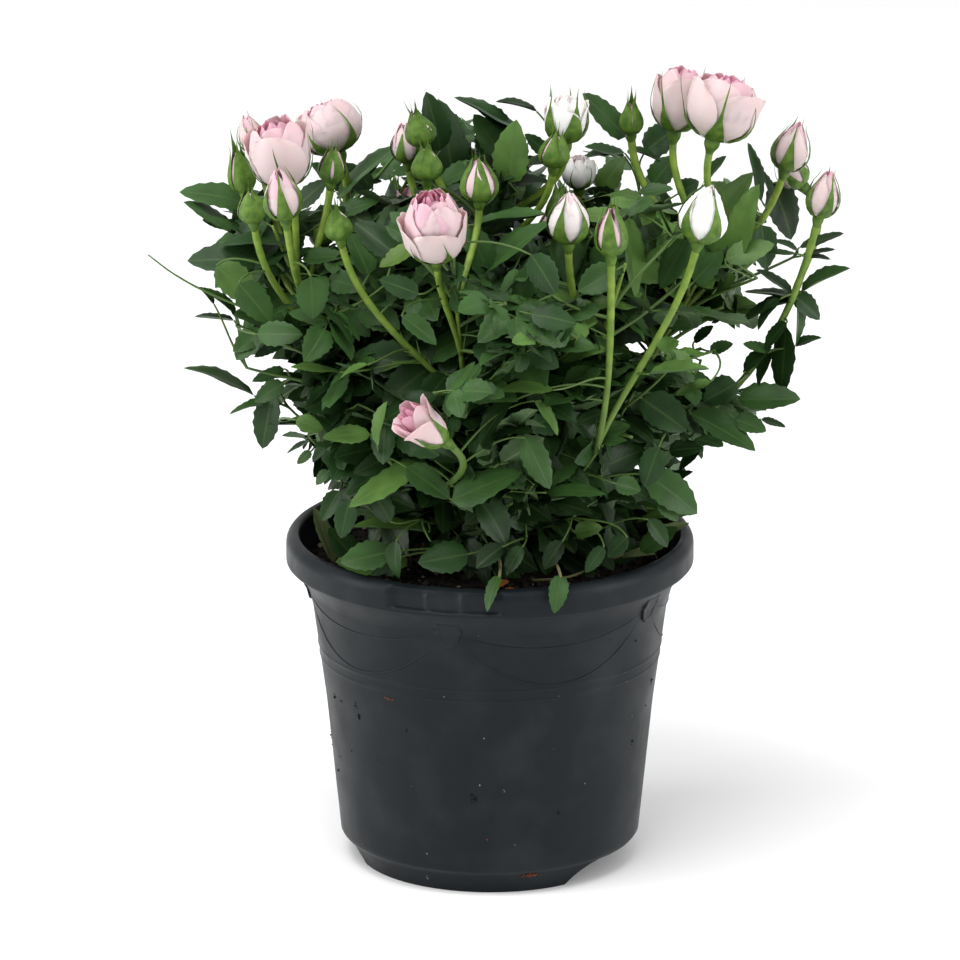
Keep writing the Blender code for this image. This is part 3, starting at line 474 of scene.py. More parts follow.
def resampled(path, count):
    """A path as an array of count points, evenly spaced along its length, rounded at its corners."""
    points = rows_of(path)
    length = np.concatenate([[0], np.cumsum(np.linalg.norm(np.diff(points, axis=0), axis=1))])
    even = along_path(points, np.linspace(0, length[-1], count), length)
    for _ in range(3):
        even[1:-1] = (even[:-2] + 2 * even[1:-1] + even[2:]) / 4
    return even


# ---------------------------------------------------------------- materials

KIT = {}
LEAVES = {  # base colour, roughness and the colour of the veins
    "leaf_shadow": ((0.009, 0.024, 0.006), 0.42, None),
    "leaf_deep": ((0.013, 0.037, 0.009), 0.42, None),
    "leaf_full": ((0.026, 0.066, 0.015), 0.42, None),
    "leaf_fresh": ((0.058, 0.118, 0.025), 0.42, None),
    "leaf_young": ((0.100, 0.175, 0.034), 0.42, None),
    "leaf_underside": ((0.050, 0.090, 0.036), 0.6, (0.09, 0.14, 0.06)),
    "faded_leaf": ((0.13, 0.17, 0.07), 0.7, (0.2, 0.22, 0.11)),
    "dry_leaf": ((0.22, 0.075, 0.014), 0.8, (0.14, 0.05, 0.012)),
}
GREEN_VEIN = (0.09, 0.15, 0.04)
SIDE_VEINS = 8
VEIN_SLANT = -0.75
VEIN_DEPTH = 0.04 * MM
MIDRIB_EDGE = (0.015, 0.05)
LEAF_SPECULAR = 0.17
LEAF_PATCHES = 60
LEAF_SHADES = (0.8, 1.2)
PLASTIC_WEAR = (45, 5)
PLASTIC_ROUGHNESS = (0.36, 0.5)
SILK_DEPTH = 2.5 * MM
SILK_SCATTER = [1.0, 0.5, 0.45]
SILK_GRAIN = 260
PLAIN = {  # base colour, roughness, specular
    "twig_green": ((0.055, 0.105, 0.020), 0.5, 0.3),
    "brown_crumb": ((0.020, 0.013, 0.008), 0.9, 0.2),
    "black_crumb": ((0.0028, 0.0022, 0.0018), 0.9, 0.2),
    "red_crumb": ((0.16, 0.045, 0.02), 0.9, 0.2),
    "pale_crumb": ((0.20, 0.17, 0.13), 0.9, 0.2),
    "dry_stalk": ((0.17, 0.16, 0.07), 0.7, 0.3),
    "pale_floor": ((0.86, 0.86, 0.86), 0.9, 0.5),
}
# Mottled ones: base colour, roughness, specular; patches per metre, detail, and the noise that is wholly the
# first and wholly the second of two colours; relief as grains per metre, detail, depth and strength
MOTTLED = {
    "green_bark": (
        (0.13, 0.22, 0.024), 0.5, 0.3,
        (140, 3, 0.35, 0.65), (0.10, 0.18, 0.020), (0.19, 0.28, 0.036), None,
    ),
    "cane_bark": (
        (0.06, 0.085, 0.022), 0.62, 0.5,
        (90, 5, 0.38, 0.66), (0.05, 0.09, 0.016), (0.085, 0.065, 0.03), (900, 4, 0.25 * MM, 0.6),
    ),
    "crown_wood": (
        (0.12, 0.08, 0.045), 0.85, 0.5,
        (160, 5, 0.35, 0.65), (0.035, 0.022, 0.014), (0.12, 0.08, 0.045), (420, 6, 1.0 * MM, 0.9),
    ),
    "calyx_green": (
        (0.07, 0.13, 0.022), 0.5, 0.2,
        (220, 3, 0.35, 0.65), (0.040, 0.092, 0.010), (0.094, 0.168, 0.024), None,
    ),
    "pot_plastic": (
        (0.0058, 0.0084, 0.0108), 0.42, 0.14,
        (34, 8, 0.46, 0.72), (0.0046, 0.0070, 0.0092), (0.0108, 0.0138, 0.0155), (1400, 3, 0.05 * MM, 0.35),
    ),
    "wet_compost": (
        (0.0065, 0.0052, 0.0040), 0.95, 0.2,
        (300, 6, 0.4, 0.62), (0.005, 0.0042, 0.0036), (0.019, 0.0125, 0.0085), (900, 5, 1.2 * MM, 1.0),
    ),
}
OLD_BARK = (0.050, 0.098, 0.016)
BARK_HEIGHTS = (0.25, 0.38)


def fill(tree, made, sockets):
    """Sets or links a node's inputs: to a number, to a colour, or to another node's output."""
    for name, value in sockets.items():
        if isinstance(value, bpy.types.NodeSocket):
            tree.links.new(value, made.inputs[name])
        else:
            made.inputs[name].default_value = (*value, 1) if isinstance(value, tuple) else value


def node(tree, kind, sockets=None, **settings):
    """A new node of a kind, with its inputs and settings."""
    made = tree.nodes.new(kind)
    for name, value in settings.items():
        setattr(made, name, value)
    fill(tree, made, sockets or {})
    return made


def finish(name, colour, roughness, specular):
    made = KIT[name] = bpy.data.materials.new(name)
    made.use_nodes = True
    shader = made.node_tree.nodes["Principled BSDF"]
    sockets = {"Base Color": colour, "Roughness": roughness, "Specular IOR Level": specular}
    fill(made.node_tree, shader, sockets)
    return made.node_tree, shader


def noise(tree, scale, detail=3):
    """Noise on the piece's own coordinates, from about 0.3 to 0.7. scale is in patches per metre."""
    place = node(tree, "ShaderNodeTexCoord").outputs["Object"]
    sockets = {"Scale": scale, "Detail": detail, "Vector": place}
    return node(tree, "ShaderNodeTexNoise", sockets).outputs["Fac"]


def ramp(tree, value, low, high, start=0.0, end=1.0):
    """A value mapped from low..high to start..end."""
    sockets = {"Value": value, "From Min": low, "From Max": high, "To Min": start, "To Max": end}
    return node(tree, "ShaderNodeMapRange", sockets).outputs["Result"]


def blend(tree, factor, first, second):
    """A mix of two colours, each a tuple or a socket."""
    sockets = {"Factor": factor, "A": first, "B": second}
    return node(tree, "ShaderNodeMix", sockets, data_type="RGBA").outputs["Result"]


def number(tree, operation, *inputs):
    """The result of a sum on numbers and sockets."""
    return node(tree, "ShaderNodeMath", dict(enumerate(inputs)), operation=operation).outputs[0]


def parts(tree, vector):
    """The three numbers of a vector, by the names X, Y and Z."""
    return node(tree, "ShaderNodeSeparateXYZ", {"Vector": vector}).outputs


def bump(tree, shader, height, distance, strength):
    """Fine relief on a shader from a height."""
    made = node(tree, "ShaderNodeBump", {"Strength": strength, "Distance": distance, "Height": height})
    fill(tree, shader, {"Normal": made.outputs["Normal"]})


def shade(colour, factor):
    """A colour made lighter or darker."""
    return tuple(channel * factor for channel in colour)


def leaf_finish(name, colour, roughness, vein):
    """A waxy leaf: patches of lighter and darker green, a pale midrib, and side veins as shallow grooves.

    The piece's map holds the place across the blade, 0 to 1, and along it.
    """
    vein = vein or tuple(0.75 * c + 0.25 * v for c, v in zip(colour, GREEN_VEIN))
    tree, shader = finish(name, colour, roughness, LEAF_SPECULAR)
    dark, light = (shade(colour, factor) for factor in LEAF_SHADES)
    body = blend(tree, ramp(tree, noise(tree, LEAF_PATCHES), 0.35, 0.65), dark, light)
    place = parts(tree, node(tree, "ShaderNodeUVMap", uv_map="surface").outputs["UV"])
    aside = number(tree, "ABSOLUTE", number(tree, "SUBTRACT", place["X"], 0.5))
    midrib = ramp(tree, aside, *MIDRIB_EDGE, 1, 0)
    fill(tree, shader, {"Base Color": blend(tree, midrib, body, vein)})
    slant = number(tree, "MULTIPLY_ADD", aside, VEIN_SLANT, place["Y"])
    groove = number(tree, "SINE", number(tree, "MULTIPLY", slant, 2 * math.pi * SIDE_VEINS))
    bump(tree, shader, groove, VEIN_DEPTH, 0.35)


def make_finishes():
    """Every material of the plant, its pot and the floor."""
    for name, row in LEAVES.items():
        leaf_finish(name, *row)
    for name, row in PLAIN.items():
        finish(name, *row)
    for name, (colour, roughness, specular, patches, first, second, relief) in MOTTLED.items():
        tree, shader = finish(name, colour, roughness, specular)
        body = blend(tree, ramp(tree, noise(tree, *patches[:2]), *patches[2:]), first, second)
        if name == "green_bark":
            height = parts(tree, node(tree, "ShaderNodeTexCoord").outputs["Object"])["Z"]
            body = blend(tree, ramp(tree, height, *BARK_HEIGHTS), OLD_BARK, body)
        if name == "pot_plastic":
            wear = ramp(tree, noise(tree, *PLASTIC_WEAR), 0.3, 0.7, *PLASTIC_ROUGHNESS)
            fill(tree, shader, {"Roughness": wear})
        fill(tree, shader, {"Base Color": body})
        if relief:
            bump(tree, shader, noise(tree, *relief[:2]), *relief[2:])
    tree, shader = finish("petal_silk", (0.8, 0.6, 0.6), 0.55, 0.35)
    own = node(tree, "ShaderNodeVertexColor", layer_name="tint").outputs["Color"]
    fill(tree, shader, {"Base Color": own, "Subsurface Weight": 0.25})
    fill(tree, shader, {"Subsurface Radius": SILK_SCATTER, "Subsurface Scale": SILK_DEPTH})
    bump(tree, shader, noise(tree, SILK_GRAIN, 4), 0.25 * MM, 0.35)


# ---------------------------------------------------------------- the growth rule


def curve(start, start_way, end, end_way, steps):
    """Points on a cubic that leaves start along one direction and reaches end along another.

    Its two handles lie along those directions, at a share of the distance between the ends.
    """
    reach = (end - start).length * CURVE_PULL
    second, third = start + start_way.normalized() * reach, end - end_way.normalized() * reach
    points = []
    for i in range(steps + 1):
        t = i / steps
        s = 1 - t
        points.append(start * s**3 + second * (3 * s * s * t) + third * (3 * s * t * t) + end * t**3)
    return points


def seen(points):
    """Points as seen from the front: across, up, and nearness."""
    x, y, z = np.moveaxis(points, -1, 0)
    return x, z * COSINE + y * SINE, z * SINE - y * COSINE


def reach_excess(points):
    """How far points lie outside the crown's reach, negative inside it.

    The reach is a profile over height, round an axis that leans to +X, and the profile sinks to the back.
    """
    heights, reaches = mm(REACH_PROFILE)
    x, y, z = points.T
    lean = AXIS_LEAN * np.clip((z - RIM_TOP) / (heights[-1] - RIM_TOP), 0, None)
    return np.hypot(x - lean, y) - np.interp(z + BACK_FALL * np.maximum(y, 0), heights, reaches, right=0)


class Shoot:
    """A stem, stalk or twig: its path, the radii of its two ends, and the leafless length at its tip.

    used is how far along it something springs, which is as far as it is drawn.
    """

    def __init__(self, path, radius, tip_radius, bare_end=0.0):
        self.path, self.radius, self.tip_radius, self.bare_end = path, radius, tip_radius, bare_end
        steps = ((b - a).length for a, b in zip(path, path[1:]))
        self.lengths = list(itertools.accumulate(steps, initial=0.0))
        self.length = self.lengths[-1]
        self.used = 0.0

    def at(self, distance):
        """The place and direction that far along."""
        last = len(self.path) - 1
        i = next(i for i in range(1, last + 1) if distance <= self.lengths[i] or i == last)
        a, b = self.path[i - 1 : i + 1]
        share = (distance - self.lengths[i - 1]) / (self.lengths[i] - self.lengths[i - 1])
        return a.lerp(b, share), (b - a).normalized()

    def spring(self, distance):
        """The place and direction of something that the shoot carries from here on."""
        self.used = max(self.used, distance)
        return self.at(distance)


def side_shoot(start, tangent, tip, lift=0.0):
    """A leafy shoot from its place on another one to its tip."""
    path = curve(start, tangent + (tip - start).normalized(), tip, tip - start + UP * lift, 8)
    return Shoot(path, TWIG_RADIUS, SIDE_SHOOT_TIP_RADIUS)


class Mass:
    """One mass: the site it grows towards, its cane and its shoots, the stem first."""

    def __init__(self, name, site, foot, entry, apex, twigs):
        self.name, self.site, self.twigs, self.heads = name, site, twigs, []
        outwards = Vector((entry.x, entry.y, 0)) * 0.4
        entry_way = (entry - foot).normalized() + (apex - entry).normalized()
        path = curve(foot, UP * (90 * MM) + outwards, entry, entry_way, 12)
        self.cane = Shoot(path, CANE_RADIUS, CANE_TIP_RADIUS)
        entry_way = (path[-1] - path[-2]).normalized()
        stem = curve(entry - entry_way * (0.4 * MM), entry_way, apex, apex - entry + UP * (40 * MM), 10)
        self.shoots = [Shoot(stem, STEM_RADIUS, STEM_TIP_RADIUS)]


def plan_masses():
    """The tall masses at their sites and the short ones evenly round the pot.

    A cane's foot, its entry to the mass and the mass's top stand at growing shares of the site's reach.
    """
    masses = []
    for name, across, depth in TALL_SITES:
        flat = Vector((across * MM, depth * MM, 0))
        foot_radius = TALL_FOOT_RADIUS if flat.length > 20 * MM else 0
        foot = flat.normalized() * foot_radius + UP * (SOIL_TOP + 8 * MM)
        entry = flat * TALL_ENTRY_SHARE + UP * TALL_ENTRY_HEIGHT
        apex = flat * TALL_APEX_SHARE + UP * (TALL_APEX_HEIGHT - BACK_FALL * max(0.0, depth * MM))
        masses.append(Mass(name, flat + UP * TALL_SITE_HEIGHT, foot, entry, apex, TALL_TWIGS))
    for i in range(SKIRT_COUNT):
        angle = SKIRT_FIRST + 2 * math.pi * i / SKIRT_COUNT
        away = Vector((math.cos(angle), math.sin(angle), 0))
        foot = away * SKIRT_FOOT_RADIUS + UP * (SOIL_TOP + 5 * MM)
        entry = away * SKIRT_ENTRY_REACH + UP * SKIRT_ENTRY_HEIGHT
        apex = away * SKIRT_APEX_REACH + UP * SKIRT_APEX_HEIGHT
        site = away * SKIRT_REACH + UP * SKIRT_SITE_HEIGHT
        masses.append(Mass(f"skirt_{i + 1}", site, foot, entry, apex, SKIRT_TWIGS))
    return masses


class Head:
    """A flower head: its kind, base, axis, width and length, and how much of its stalk is in sight."""

    def __init__(self, kind, base, axis, width, length, clear):
        self.kind, self.base, self.axis, self.width, self.length = kind, base, axis, width, length
        self.clear, self.stalk, self.carrier = clear, None, None
        self.shoots = []

    def bare_spans(self):
        """The straight bits of its stalk that are in sight, from the head down."""
        left = self.clear
        for a, b in zip(self.stalk[::-1], self.stalk[-2::-1]):
            if left > 0:
                yield a, b
            left -= (a - b).length


def plan_heads(masses):
    """Every flower head, handed to the mass whose site is nearest."""
    rows = [
        (kind, Vector((x, y, z)) * MM, width * MM, length * MM, math.radians(lean), nod, clear * MM)
        for kind, x, y, z, width, length, lean, nod, clear in HEADS
    ]
    for kind, azimuth, reach, top, width, length in BACK_HEADS:
        angle = math.radians(azimuth)
        base = Vector((reach * MM * math.cos(angle) + AXIS_LEAN, reach * MM * math.sin(angle), 0))
        base.z = (top - length) * MM - BACK_FALL * base.y
        sides = base.x + np.array([-0.5, 0, 0.5]) * width * MM
        level = seen(np.array(base))[1] + length * MM - np.interp(sides, *mm(LEAF_CEILING)).min()
        base.z -= min(BACK_DROP, max(0.0, level + BACK_MARGIN + 0.4 * width * MM))
        rows.append((kind, base, width * MM, length * MM, 0.25 * math.cos(angle), 0.18, 0))
    heads = []
    for kind, base, width, length, lean, nod, clear in rows:
        axis = Vector((math.sin(lean), nod, math.cos(lean))).normalized()
        heads.append(Head(kind, base, axis, width, length, clear))
        min(masses, key=lambda m: (m.site - base).length).heads.append(heads[-1])
    for mass in masses:
        mass.heads.sort(key=lambda head: head.base.z)
    for number, name, share in LONG_STALKS:
        heads[number].carrier = (masses[MASSES.index(name)] if name in MASSES else heads[name], share)
    return heads


def frame_mass(mass):
    """The stalks of a mass to its heads, its shoots to the crown's edge and those that stray or stay low."""
    stem = mass.shoots[0]
    for i, head in enumerate(mass.heads):
        own_share = STALK_LOW_SHARE + STALK_SHARE_SPREAD * (i + 0.5) / len(mass.heads)
        carrier, share = head.carrier or (mass, own_share)
        start, tangent = carrier.shoots[0].spring(share * carrier.shoots[0].length)
        end = head.base - head.axis * (HEAD_GRIP * head.length)
        aside = Vector((end.x - start.x, end.y - start.y, 0)).length
        low = UP * (STALK_SAG * float(smooth(*STALK_SAG_REACH, aside)))
        head.stalk = curve(start, tangent + (end - start).normalized() - low, end, head.axis, 14)
        stalk = Shoot(head.stalk, STALK_RADIUS, STALK_TIP_RADIUS, BARE_STALK)
        stalk.spring(stalk.length)
        head.shoots.append(stalk)
        mass.shoots.append(stalk)
    if mass.name in STRAY_TIPS:
        tip, way = STRAY_TIPS[mass.name]
        start, tangent = stem.spring(0.3 * stem.length)
        path = curve(start, tangent * 0.3 + (tip - start).normalized(), tip, way, 8)
        stray = Shoot(path, *STRAY_RADII, STRAY_BARE)
        stray.spring(stray.length)
        mass.shoots.append(stray)
    for tip in EDGE_TIPS.get(mass.name, ()):
        tip = Vector(tip) * MM
        foot, top = stem.path[0].z, stem.path[-1].z
        share = min(0.8, max(0.02, (tip.z - EDGE_SHOOT_RISE - foot) / (top - foot)))
        mass.shoots.append(side_shoot(*stem.spring(share * stem.length), tip))
    if mass.name.startswith("skirt"):
        around = math.atan2(mass.site.y, mass.site.x)
        for share, turn, reach, height in LOW_SHOOTS:
            tip = Vector((reach * math.cos(around + turn), reach * math.sin(around + turn), height))
            mass.shoots.append(side_shoot(*mass.cane.at(share * mass.cane.length), tip, LOW_SHOOT_LIFT))


class Placed:
    """The leaves that have their own places: roots, ways, ups, lengths, widths and greens, as arrays.

    A leaf lies across the line of sight, nearer at its tip. One that shows narrow is turned edgeways about
    its midrib, by the angle whose cosine is the width seen over the width it has.
    """

    def __init__(self, heads):
        x, level, tip_x, tip_level, y, width, green = mm(PLACED_LEAVES)
        tip_y = y - PLACED_SLANT * np.hypot(tip_x - x, tip_level - level)
        self.roots = np.stack([x, y, (level - y * SINE) / COSINE], -1)
        tips = np.stack([tip_x, tip_y, (tip_level - tip_y * SINE) / COSINE], -1)
        self.lengths = np.linalg.norm(tips - self.roots, axis=1)
        self.ways = unit(tips - self.roots)
        share = width / self.lengths
        turn = np.where(share > 0.5, 0.35, np.arccos(np.minimum(share / PLACED_SHAPE, 0.94)))
        self.widths = np.minimum(width / np.cos(turn), 0.85 * self.lengths)
        facing = np.array([0, -COSINE, SINE])
        flat = unit(facing - self.ways * (self.ways @ facing)[:, None])
        aside = np.cross(self.ways, flat)
        aside = aside * np.where(aside[:, 2:] < 0, -1, 1)
        self.ups = flat * np.cos(turn)[:, None] + aside * np.sin(turn)[:, None]
        self.greens = np.round(green / MM).astype(int)
        self.seen_widths = width
        self.step_behind(heads, facing)
        self.middles = self.roots + self.ways * (self.lengths / 2)[:, None]

    def step_behind(self, heads, facing):
        """Moves a leaf back along the line of sight where it would stand before a head or its bare stalk."""
        spots = []
        for head in heads:
            for share in (0.1, 0.3, 0.5, 0.7, 0.9):
                middle = head.base + head.axis * (share * head.length)
                spots.append((middle, head.width / 2, head.width / 2 + 3 * MM))
            for a, b in head.bare_spans():
                spots += [(a.lerp(b, share), 4 * MM, 5 * MM) for share in (0, 0.33, 0.67)]
        across, level, depth = seen(rows_of(spot[0] for spot in spots))
        size, back = np.array([spot[1:] for spot in spots]).T
        along, aside = np.array([[0, 0.25, 0.5, 0.75, 1, 0.3, 0.3, 0.5, 0.5, 0.7, 0.7, 0.4, 0.4, 0.9],
                                 [0, 0, 0, 0, 0, -0.5, 0.5, -0.5, 0.5, -0.4, 0.4, -0.25, 0.25, 0]])
        sides = np.cross(self.ways, self.ups)
        points = self.roots[:, None] + self.ways[:, None] * (self.lengths[:, None] * along)[..., None]
        points = points + sides[:, None] * (self.widths[:, None] * aside)[..., None]
        x, up, near = (part[..., None] for part in seen(points))
        hit = np.hypot(x - across, up - level) < size
        push = np.where(hit, near - depth + back, 0).max((1, 2))
        self.roots = self.roots - facing * np.clip(push, 0, MAX_STEP_BACK)[:, None]

    def tie(self, masses):
        """A thin stalk to each leaf from the nearest shoot that stands lower."""
        spots = [(mass, shoot, shoot.length * (0.04 + 0.046 * k))
                 for mass in masses for shoot in mass.shoots for k in range(20)]
        places = rows_of(shoot.at(distance)[0] for _, shoot, distance in spots)
        near = seen(places)[2]
        for root, way, front in zip(self.roots, self.ways, seen(self.roots)[2]):
            gap = root - places
            away = np.linalg.norm(gap, axis=1)
            bend = 1 - (gap @ way) / np.maximum(away, 1 * MM)
            cost = away * (1 + 0.6 * bend) + 1.5 * np.maximum(0, -gap[:, 2])
            cost = cost + 1.2 * np.maximum(0, near - front)
            mass, shoot, distance = spots[int(np.argmin(cost + 0.4 * np.maximum(0, 10 * MM - away)))]
            start, tangent = shoot.spring(distance)
            straight = (Vector(root) - start).normalized()
            path = curve(start, tangent * 0.4 + straight, Vector(root), straight + Vector(way) * 0.7, 8)
            stalk = Shoot(path, *LEAF_STALK_RADII)
            stalk.bare_end = stalk.length
            stalk.spring(stalk.length)
            mass.shoots.append(stalk)


class Space:
    """What leaves and twigs keep to: the crown's reach, the pot's edge, the heads and the windows."""

    def __init__(self, heads, placed):
        self.base = rows_of(head.base for head in heads)
        self.axis = rows_of(head.axis for head in heads)
        self.length = np.array([head.length for head in heads])
        self.half = np.array([head.width / 2 for head in heads])
        clear = np.array([head.clear for head in heads])
        front = clear > 0
        middle = (self.base + self.axis * (0.5 * self.length)[:, None])[front]
        self.shown = np.concatenate([middle, placed.middles])
        self.lines = np.concatenate([self.axis[front], placed.ways])
        self.half_widths = np.concatenate([self.half[front] + 1 * MM, placed.seen_widths / 2])
        self.half_lengths = np.concatenate([self.length[front] / 2 + 2 * MM, placed.lengths / 2])
        spans = [span for head in heads for span in head.bare_spans()]
        self.stalks = rows_of(spot for a, b in spans for spot in (a, a.lerp(b, 0.5)))

    def hides(self, points):
        """Whether any point stands before a head, a bare stalk or a leaf with its own place."""
        x, up, near = (part[:, None] for part in seen(points))
        across, level, depth = seen(self.shown)
        lean_x, lean_up, _ = seen(self.lines)
        size = np.hypot(lean_x, lean_up)
        lean_x, lean_up = lean_x / size, lean_up / size
        along = (x - across) * lean_x + (up - level) * lean_up
        aside = (x - across) * lean_up - (up - level) * lean_x
        inside = (along / (self.half_lengths * size)) ** 2 + (aside / self.half_widths) ** 2 < 1
        if (inside & (near > depth)).any():
            return True
        across, level, depth = seen(self.stalks)
        return ((np.hypot(x - across, up - level) < STALK_CLEARANCE) & (near > depth)).any()

    def open_to(self, points, overhang):
        """Whether all points find room, at most that far outside the crown's reach."""
        low = smooth(*TUCK_HEIGHTS, points[:, 2])
        tuck = (overhang + TUCK) * smooth(*TUCK_SIDES, np.abs(points[:, 0]))
        if (reach_excess(points) > overhang - tuck * low).any():
            return False
        reach = np.hypot(points[:, 0], points[:, 1])
        over = points[:, 2] > RIM_TOP + OVER_EDGE
        inside = (reach < LIP_INNER_RADIUS - LIP_CLEARANCE) & (points[:, 2] > SOIL_TOP + OVER_EDGE)
        if not (over.all() or (over | inside).all() and (reach < RIM_RADIUS - RIM_CLEARANCE).all()):
            return False
        across, level, _ = (part[:, None] for part in seen(points))
        levels, left, right = mm(LEAF_SIDES)
        beyond = (across < np.interp(level, levels, left)) | (across > np.interp(level, levels, right))
        if (beyond | (level > np.interp(across, *mm(LEAF_CEILING)))).any():
            return False
        middle, height, half_width, half_height = mm(SKY_WINDOWS)
        off = ((across - middle) / (half_width + WINDOW_MARGIN)) ** 2
        if (off + ((level - height) / (half_height + WINDOW_MARGIN)) ** 2 < 1).any():
            return False
        away = points[:, None] - self.base
        along = (away * self.axis).sum(-1)
        out = np.linalg.norm(away - along[..., None] * self.axis, axis=-1) / self.half
        inside = (along / self.length - 0.42) ** 2 / 0.36 + out**2 / 1.1
        return not (inside < 1).any() and not self.hides(points)


def grow_twigs(mass, space):
    """Side twigs in a spiral round the stem, the lowest away from the axis, then twiglets on each."""
    stem = mass.shoots[0]
    away = Vector((mass.site.x, mass.site.y, 0))
    for i in range(mass.twigs):
        distance = (0.08 + 0.8 * i / mass.twigs) * stem.length
        start, tangent = stem.at(distance)
        square = (away - tangent * away.dot(tangent)).normalized()
        for attempt in range(LEAF_TRIES):
            out = Matrix.Rotation(i * GOLDEN_ANGLE + attempt * 0.7, 3, tangent) @ square
            way = (tangent * 0.4 + out).normalized()
            length = TWIG_LENGTH * 0.93**attempt
            path = curve(start, way, start + way * length + UP * (0.18 * length), way + UP * 0.5, 7)
            if space.open_to(rows_of(path[2:]), TWIG_MARGIN):
                twig = Shoot(path, TWIG_RADIUS, TWIG_TIP_RADIUS)
                stem.spring(distance)
                mass.shoots.append(twig)
                grow_twiglets(mass, twig, space)
                break


def grow_twiglets(mass, twig, space):
    """Short twigs to the left and right of a side twig, where they find room."""
    for i in range(TWIGLETS):
        distance = (0.4 + 0.3 * i) * twig.length
        start, tangent = twig.at(distance)
        side = tangent.cross(UP).normalized() * (1 if i % 2 else -1)
        way = (tangent * 0.8 + side + UP * 0.3).normalized()
        end = start + way * TWIGLET_LENGTH + UP * (5 * MM)
        path = curve(start, way, end, way + UP * 0.4, 5)
        if space.open_to(rows_of(path[2:]), TWIGLET_MARGIN):
            twig.spring(distance)
            mass.shoots.append(Shoot(path, *TWIGLET_RADII))


class Leaf:
    """A compound leaf: where it springs, its direction, the way its face looks, its size and its green."""

    def __init__(self, start, axis, up, size, pairs, green):
        self.start, self.axis, self.up = start, axis, up
        self.size, self.pairs, self.green = size, pairs, green
        self.across = axis.cross(up).normalized()

    def rachis(self, share):
        """The place at a share of the leaf's stalk, which sags with the square of the share."""
        length = RACHIS_LENGTH * self.size
        return self.start + self.axis * (length * share) - UP * (0.16 * length * share * share)

    def blades(self):
        """(root, direction, length) of each leaflet."""
        full = LEAFLET_LENGTH * self.size
        rows = [(self.rachis(1.0), (self.axis - UP * 0.22).normalized(), full)]
        for share, turn, part in self.pairs:
            turn = math.radians(turn)
            for hand in (-1, 1):
                way = self.axis * math.cos(turn) + self.across * (hand * math.sin(turn)) - UP * 0.1
                rows.append((self.rachis(share), way.normalized(), full * part))
        return rows

    def probes(self):
        """Points of the leaflets that must find room: the tips, the middles and the sides."""
        points = []
        for root, way, length in self.blades():
            middle = root + way * (0.5 * length)
            side = (self.across - way * self.across.dot(way)).normalized() * (0.27 * length)
            points += [root + way * (share * length) for share in (0.25, 0.75, 1.0)]
            points += [middle, middle + side, middle - side]
        return rows_of(points)


def new_leaf(start, tangent, angle, rng, size):
    """A leaf at a node of a shoot: it leaves at an open angle, then lies flat or hangs, low leaves most."""
    outwards = Matrix.Rotation(angle, 3, tangent) @ tangent.orthogonal().normalized()
    opening = math.radians(rng.uniform(*LEAF_OPENING))
    way = (tangent * math.cos(opening) + outwards * math.sin(opening)).normalized()
    level = Vector((way.x, way.y, 0))
    level = level.normalized() if level.length > 0.05 else outwards
    gain = LEAF_RISE_GAIN * (start.z - RIM_TOP) / (TALL_APEX_HEIGHT - RIM_TOP)
    rise = math.radians(rng.uniform(*LEAF_RISE) + gain)
    axis = (way + level * math.cos(rise) + UP * math.sin(rise)).normalized()
    outside = Vector((start.x, start.y, 0))
    facing = outside.normalized() if outside.length > 20 * MM else level
    shown = UP * 0.75 + facing * rng.uniform(-0.1, 0.8)
    shown += Vector((rng.uniform(-1, 1), rng.uniform(-1, 1), rng.uniform(-0.4, 0.6))) * 0.8
    up = shown - axis * shown.dot(axis)
    if up.length < 0.1:
        up = axis.orthogonal()
    # The green is dealt by place. Higher and further out is lighter, partly young growth and partly painted
    # light. Lower and nearer the axis is darker, painted shade deep in the crown (leaf_shadow and
    # leaf_deep). It is also lighter towards +X and a little darker towards -X.
    fresh_and_lit = 0.1 + 1.9 * (start.z - SOIL_TOP) / (TALL_APEX_HEIGHT - SOIL_TOP)
    fresh_and_lit += 1.1 * (outside.length - 80 * MM) / (90 * MM) + 0.9 * float(smooth(20 * MM, 120 * MM, start.x))
    fresh_and_lit -= 0.3 * float(smooth(20 * MM, 120 * MM, -start.x))
    green = min(4, max(0, int(fresh_and_lit + rng.uniform(-0.8, 1.0))))
    pairs = LEAFLET_PAIRS if rng.random() < 0.75 else LEAFLET_PAIRS[1:]
    return Leaf(start, axis, up.normalized(), size, pairs, green)


def grow_leaves(mass, rng, space, leaves):
    """Leaves in a spiral down every shoot from its tip, and down the upper part of the cane.

    Each node tries several turns and ever smaller leaves, and stays bare where none finds room.
    """
    for shoot in (*mass.shoots, mass.cane):
        angle = rng.uniform(0, 2 * math.pi)
        distance = shoot.length - max(shoot.bare_end, 1 * MM)
        bare_start = 0.35 * shoot.length if shoot is mass.cane else INTERNODE * 0.5
        while distance > bare_start:
            start, tangent = shoot.at(distance)
            size = rng.uniform(*LEAF_SIZES)
            for attempt in range(LEAF_TRIES):
                leaf = new_leaf(start, tangent, angle + attempt * 0.9, rng, size * 0.96**attempt)
                if space.open_to(leaf.probes(), LEAF_OVERHANG):
                    leaves.append(leaf)
                    shoot.spring(distance)
                    break
            angle += GOLDEN_ANGLE
            distance -= INTERNODE * rng.uniform(0.8, 1.35)


# ---------------------------------------------------------------- leaves

BLADE_STATIONS = 12
TRIANGLES_PER_BLADE = 12 * (BLADE_STATIONS - 2) + 12
PIECE_LIMIT = 190000
GREENS = list(LEAVES)[:5]
BLADE_WIDEST = 0.4
TOOTH = 0.89
FOLD = (0.05, 0.42)
DROOP = (-0.02, 0.26)
TWIST = 0.5
WAVE = 0.13
BULGE = 0.10


def blade_outline(t):
    """Half width of a leaflet at share t of its length: round at the root, widest at two fifths, pointed."""
    return (t / BLADE_WIDEST) ** 0.52 * ((1 - t) / (1 - BLADE_WIDEST)) ** 0.76


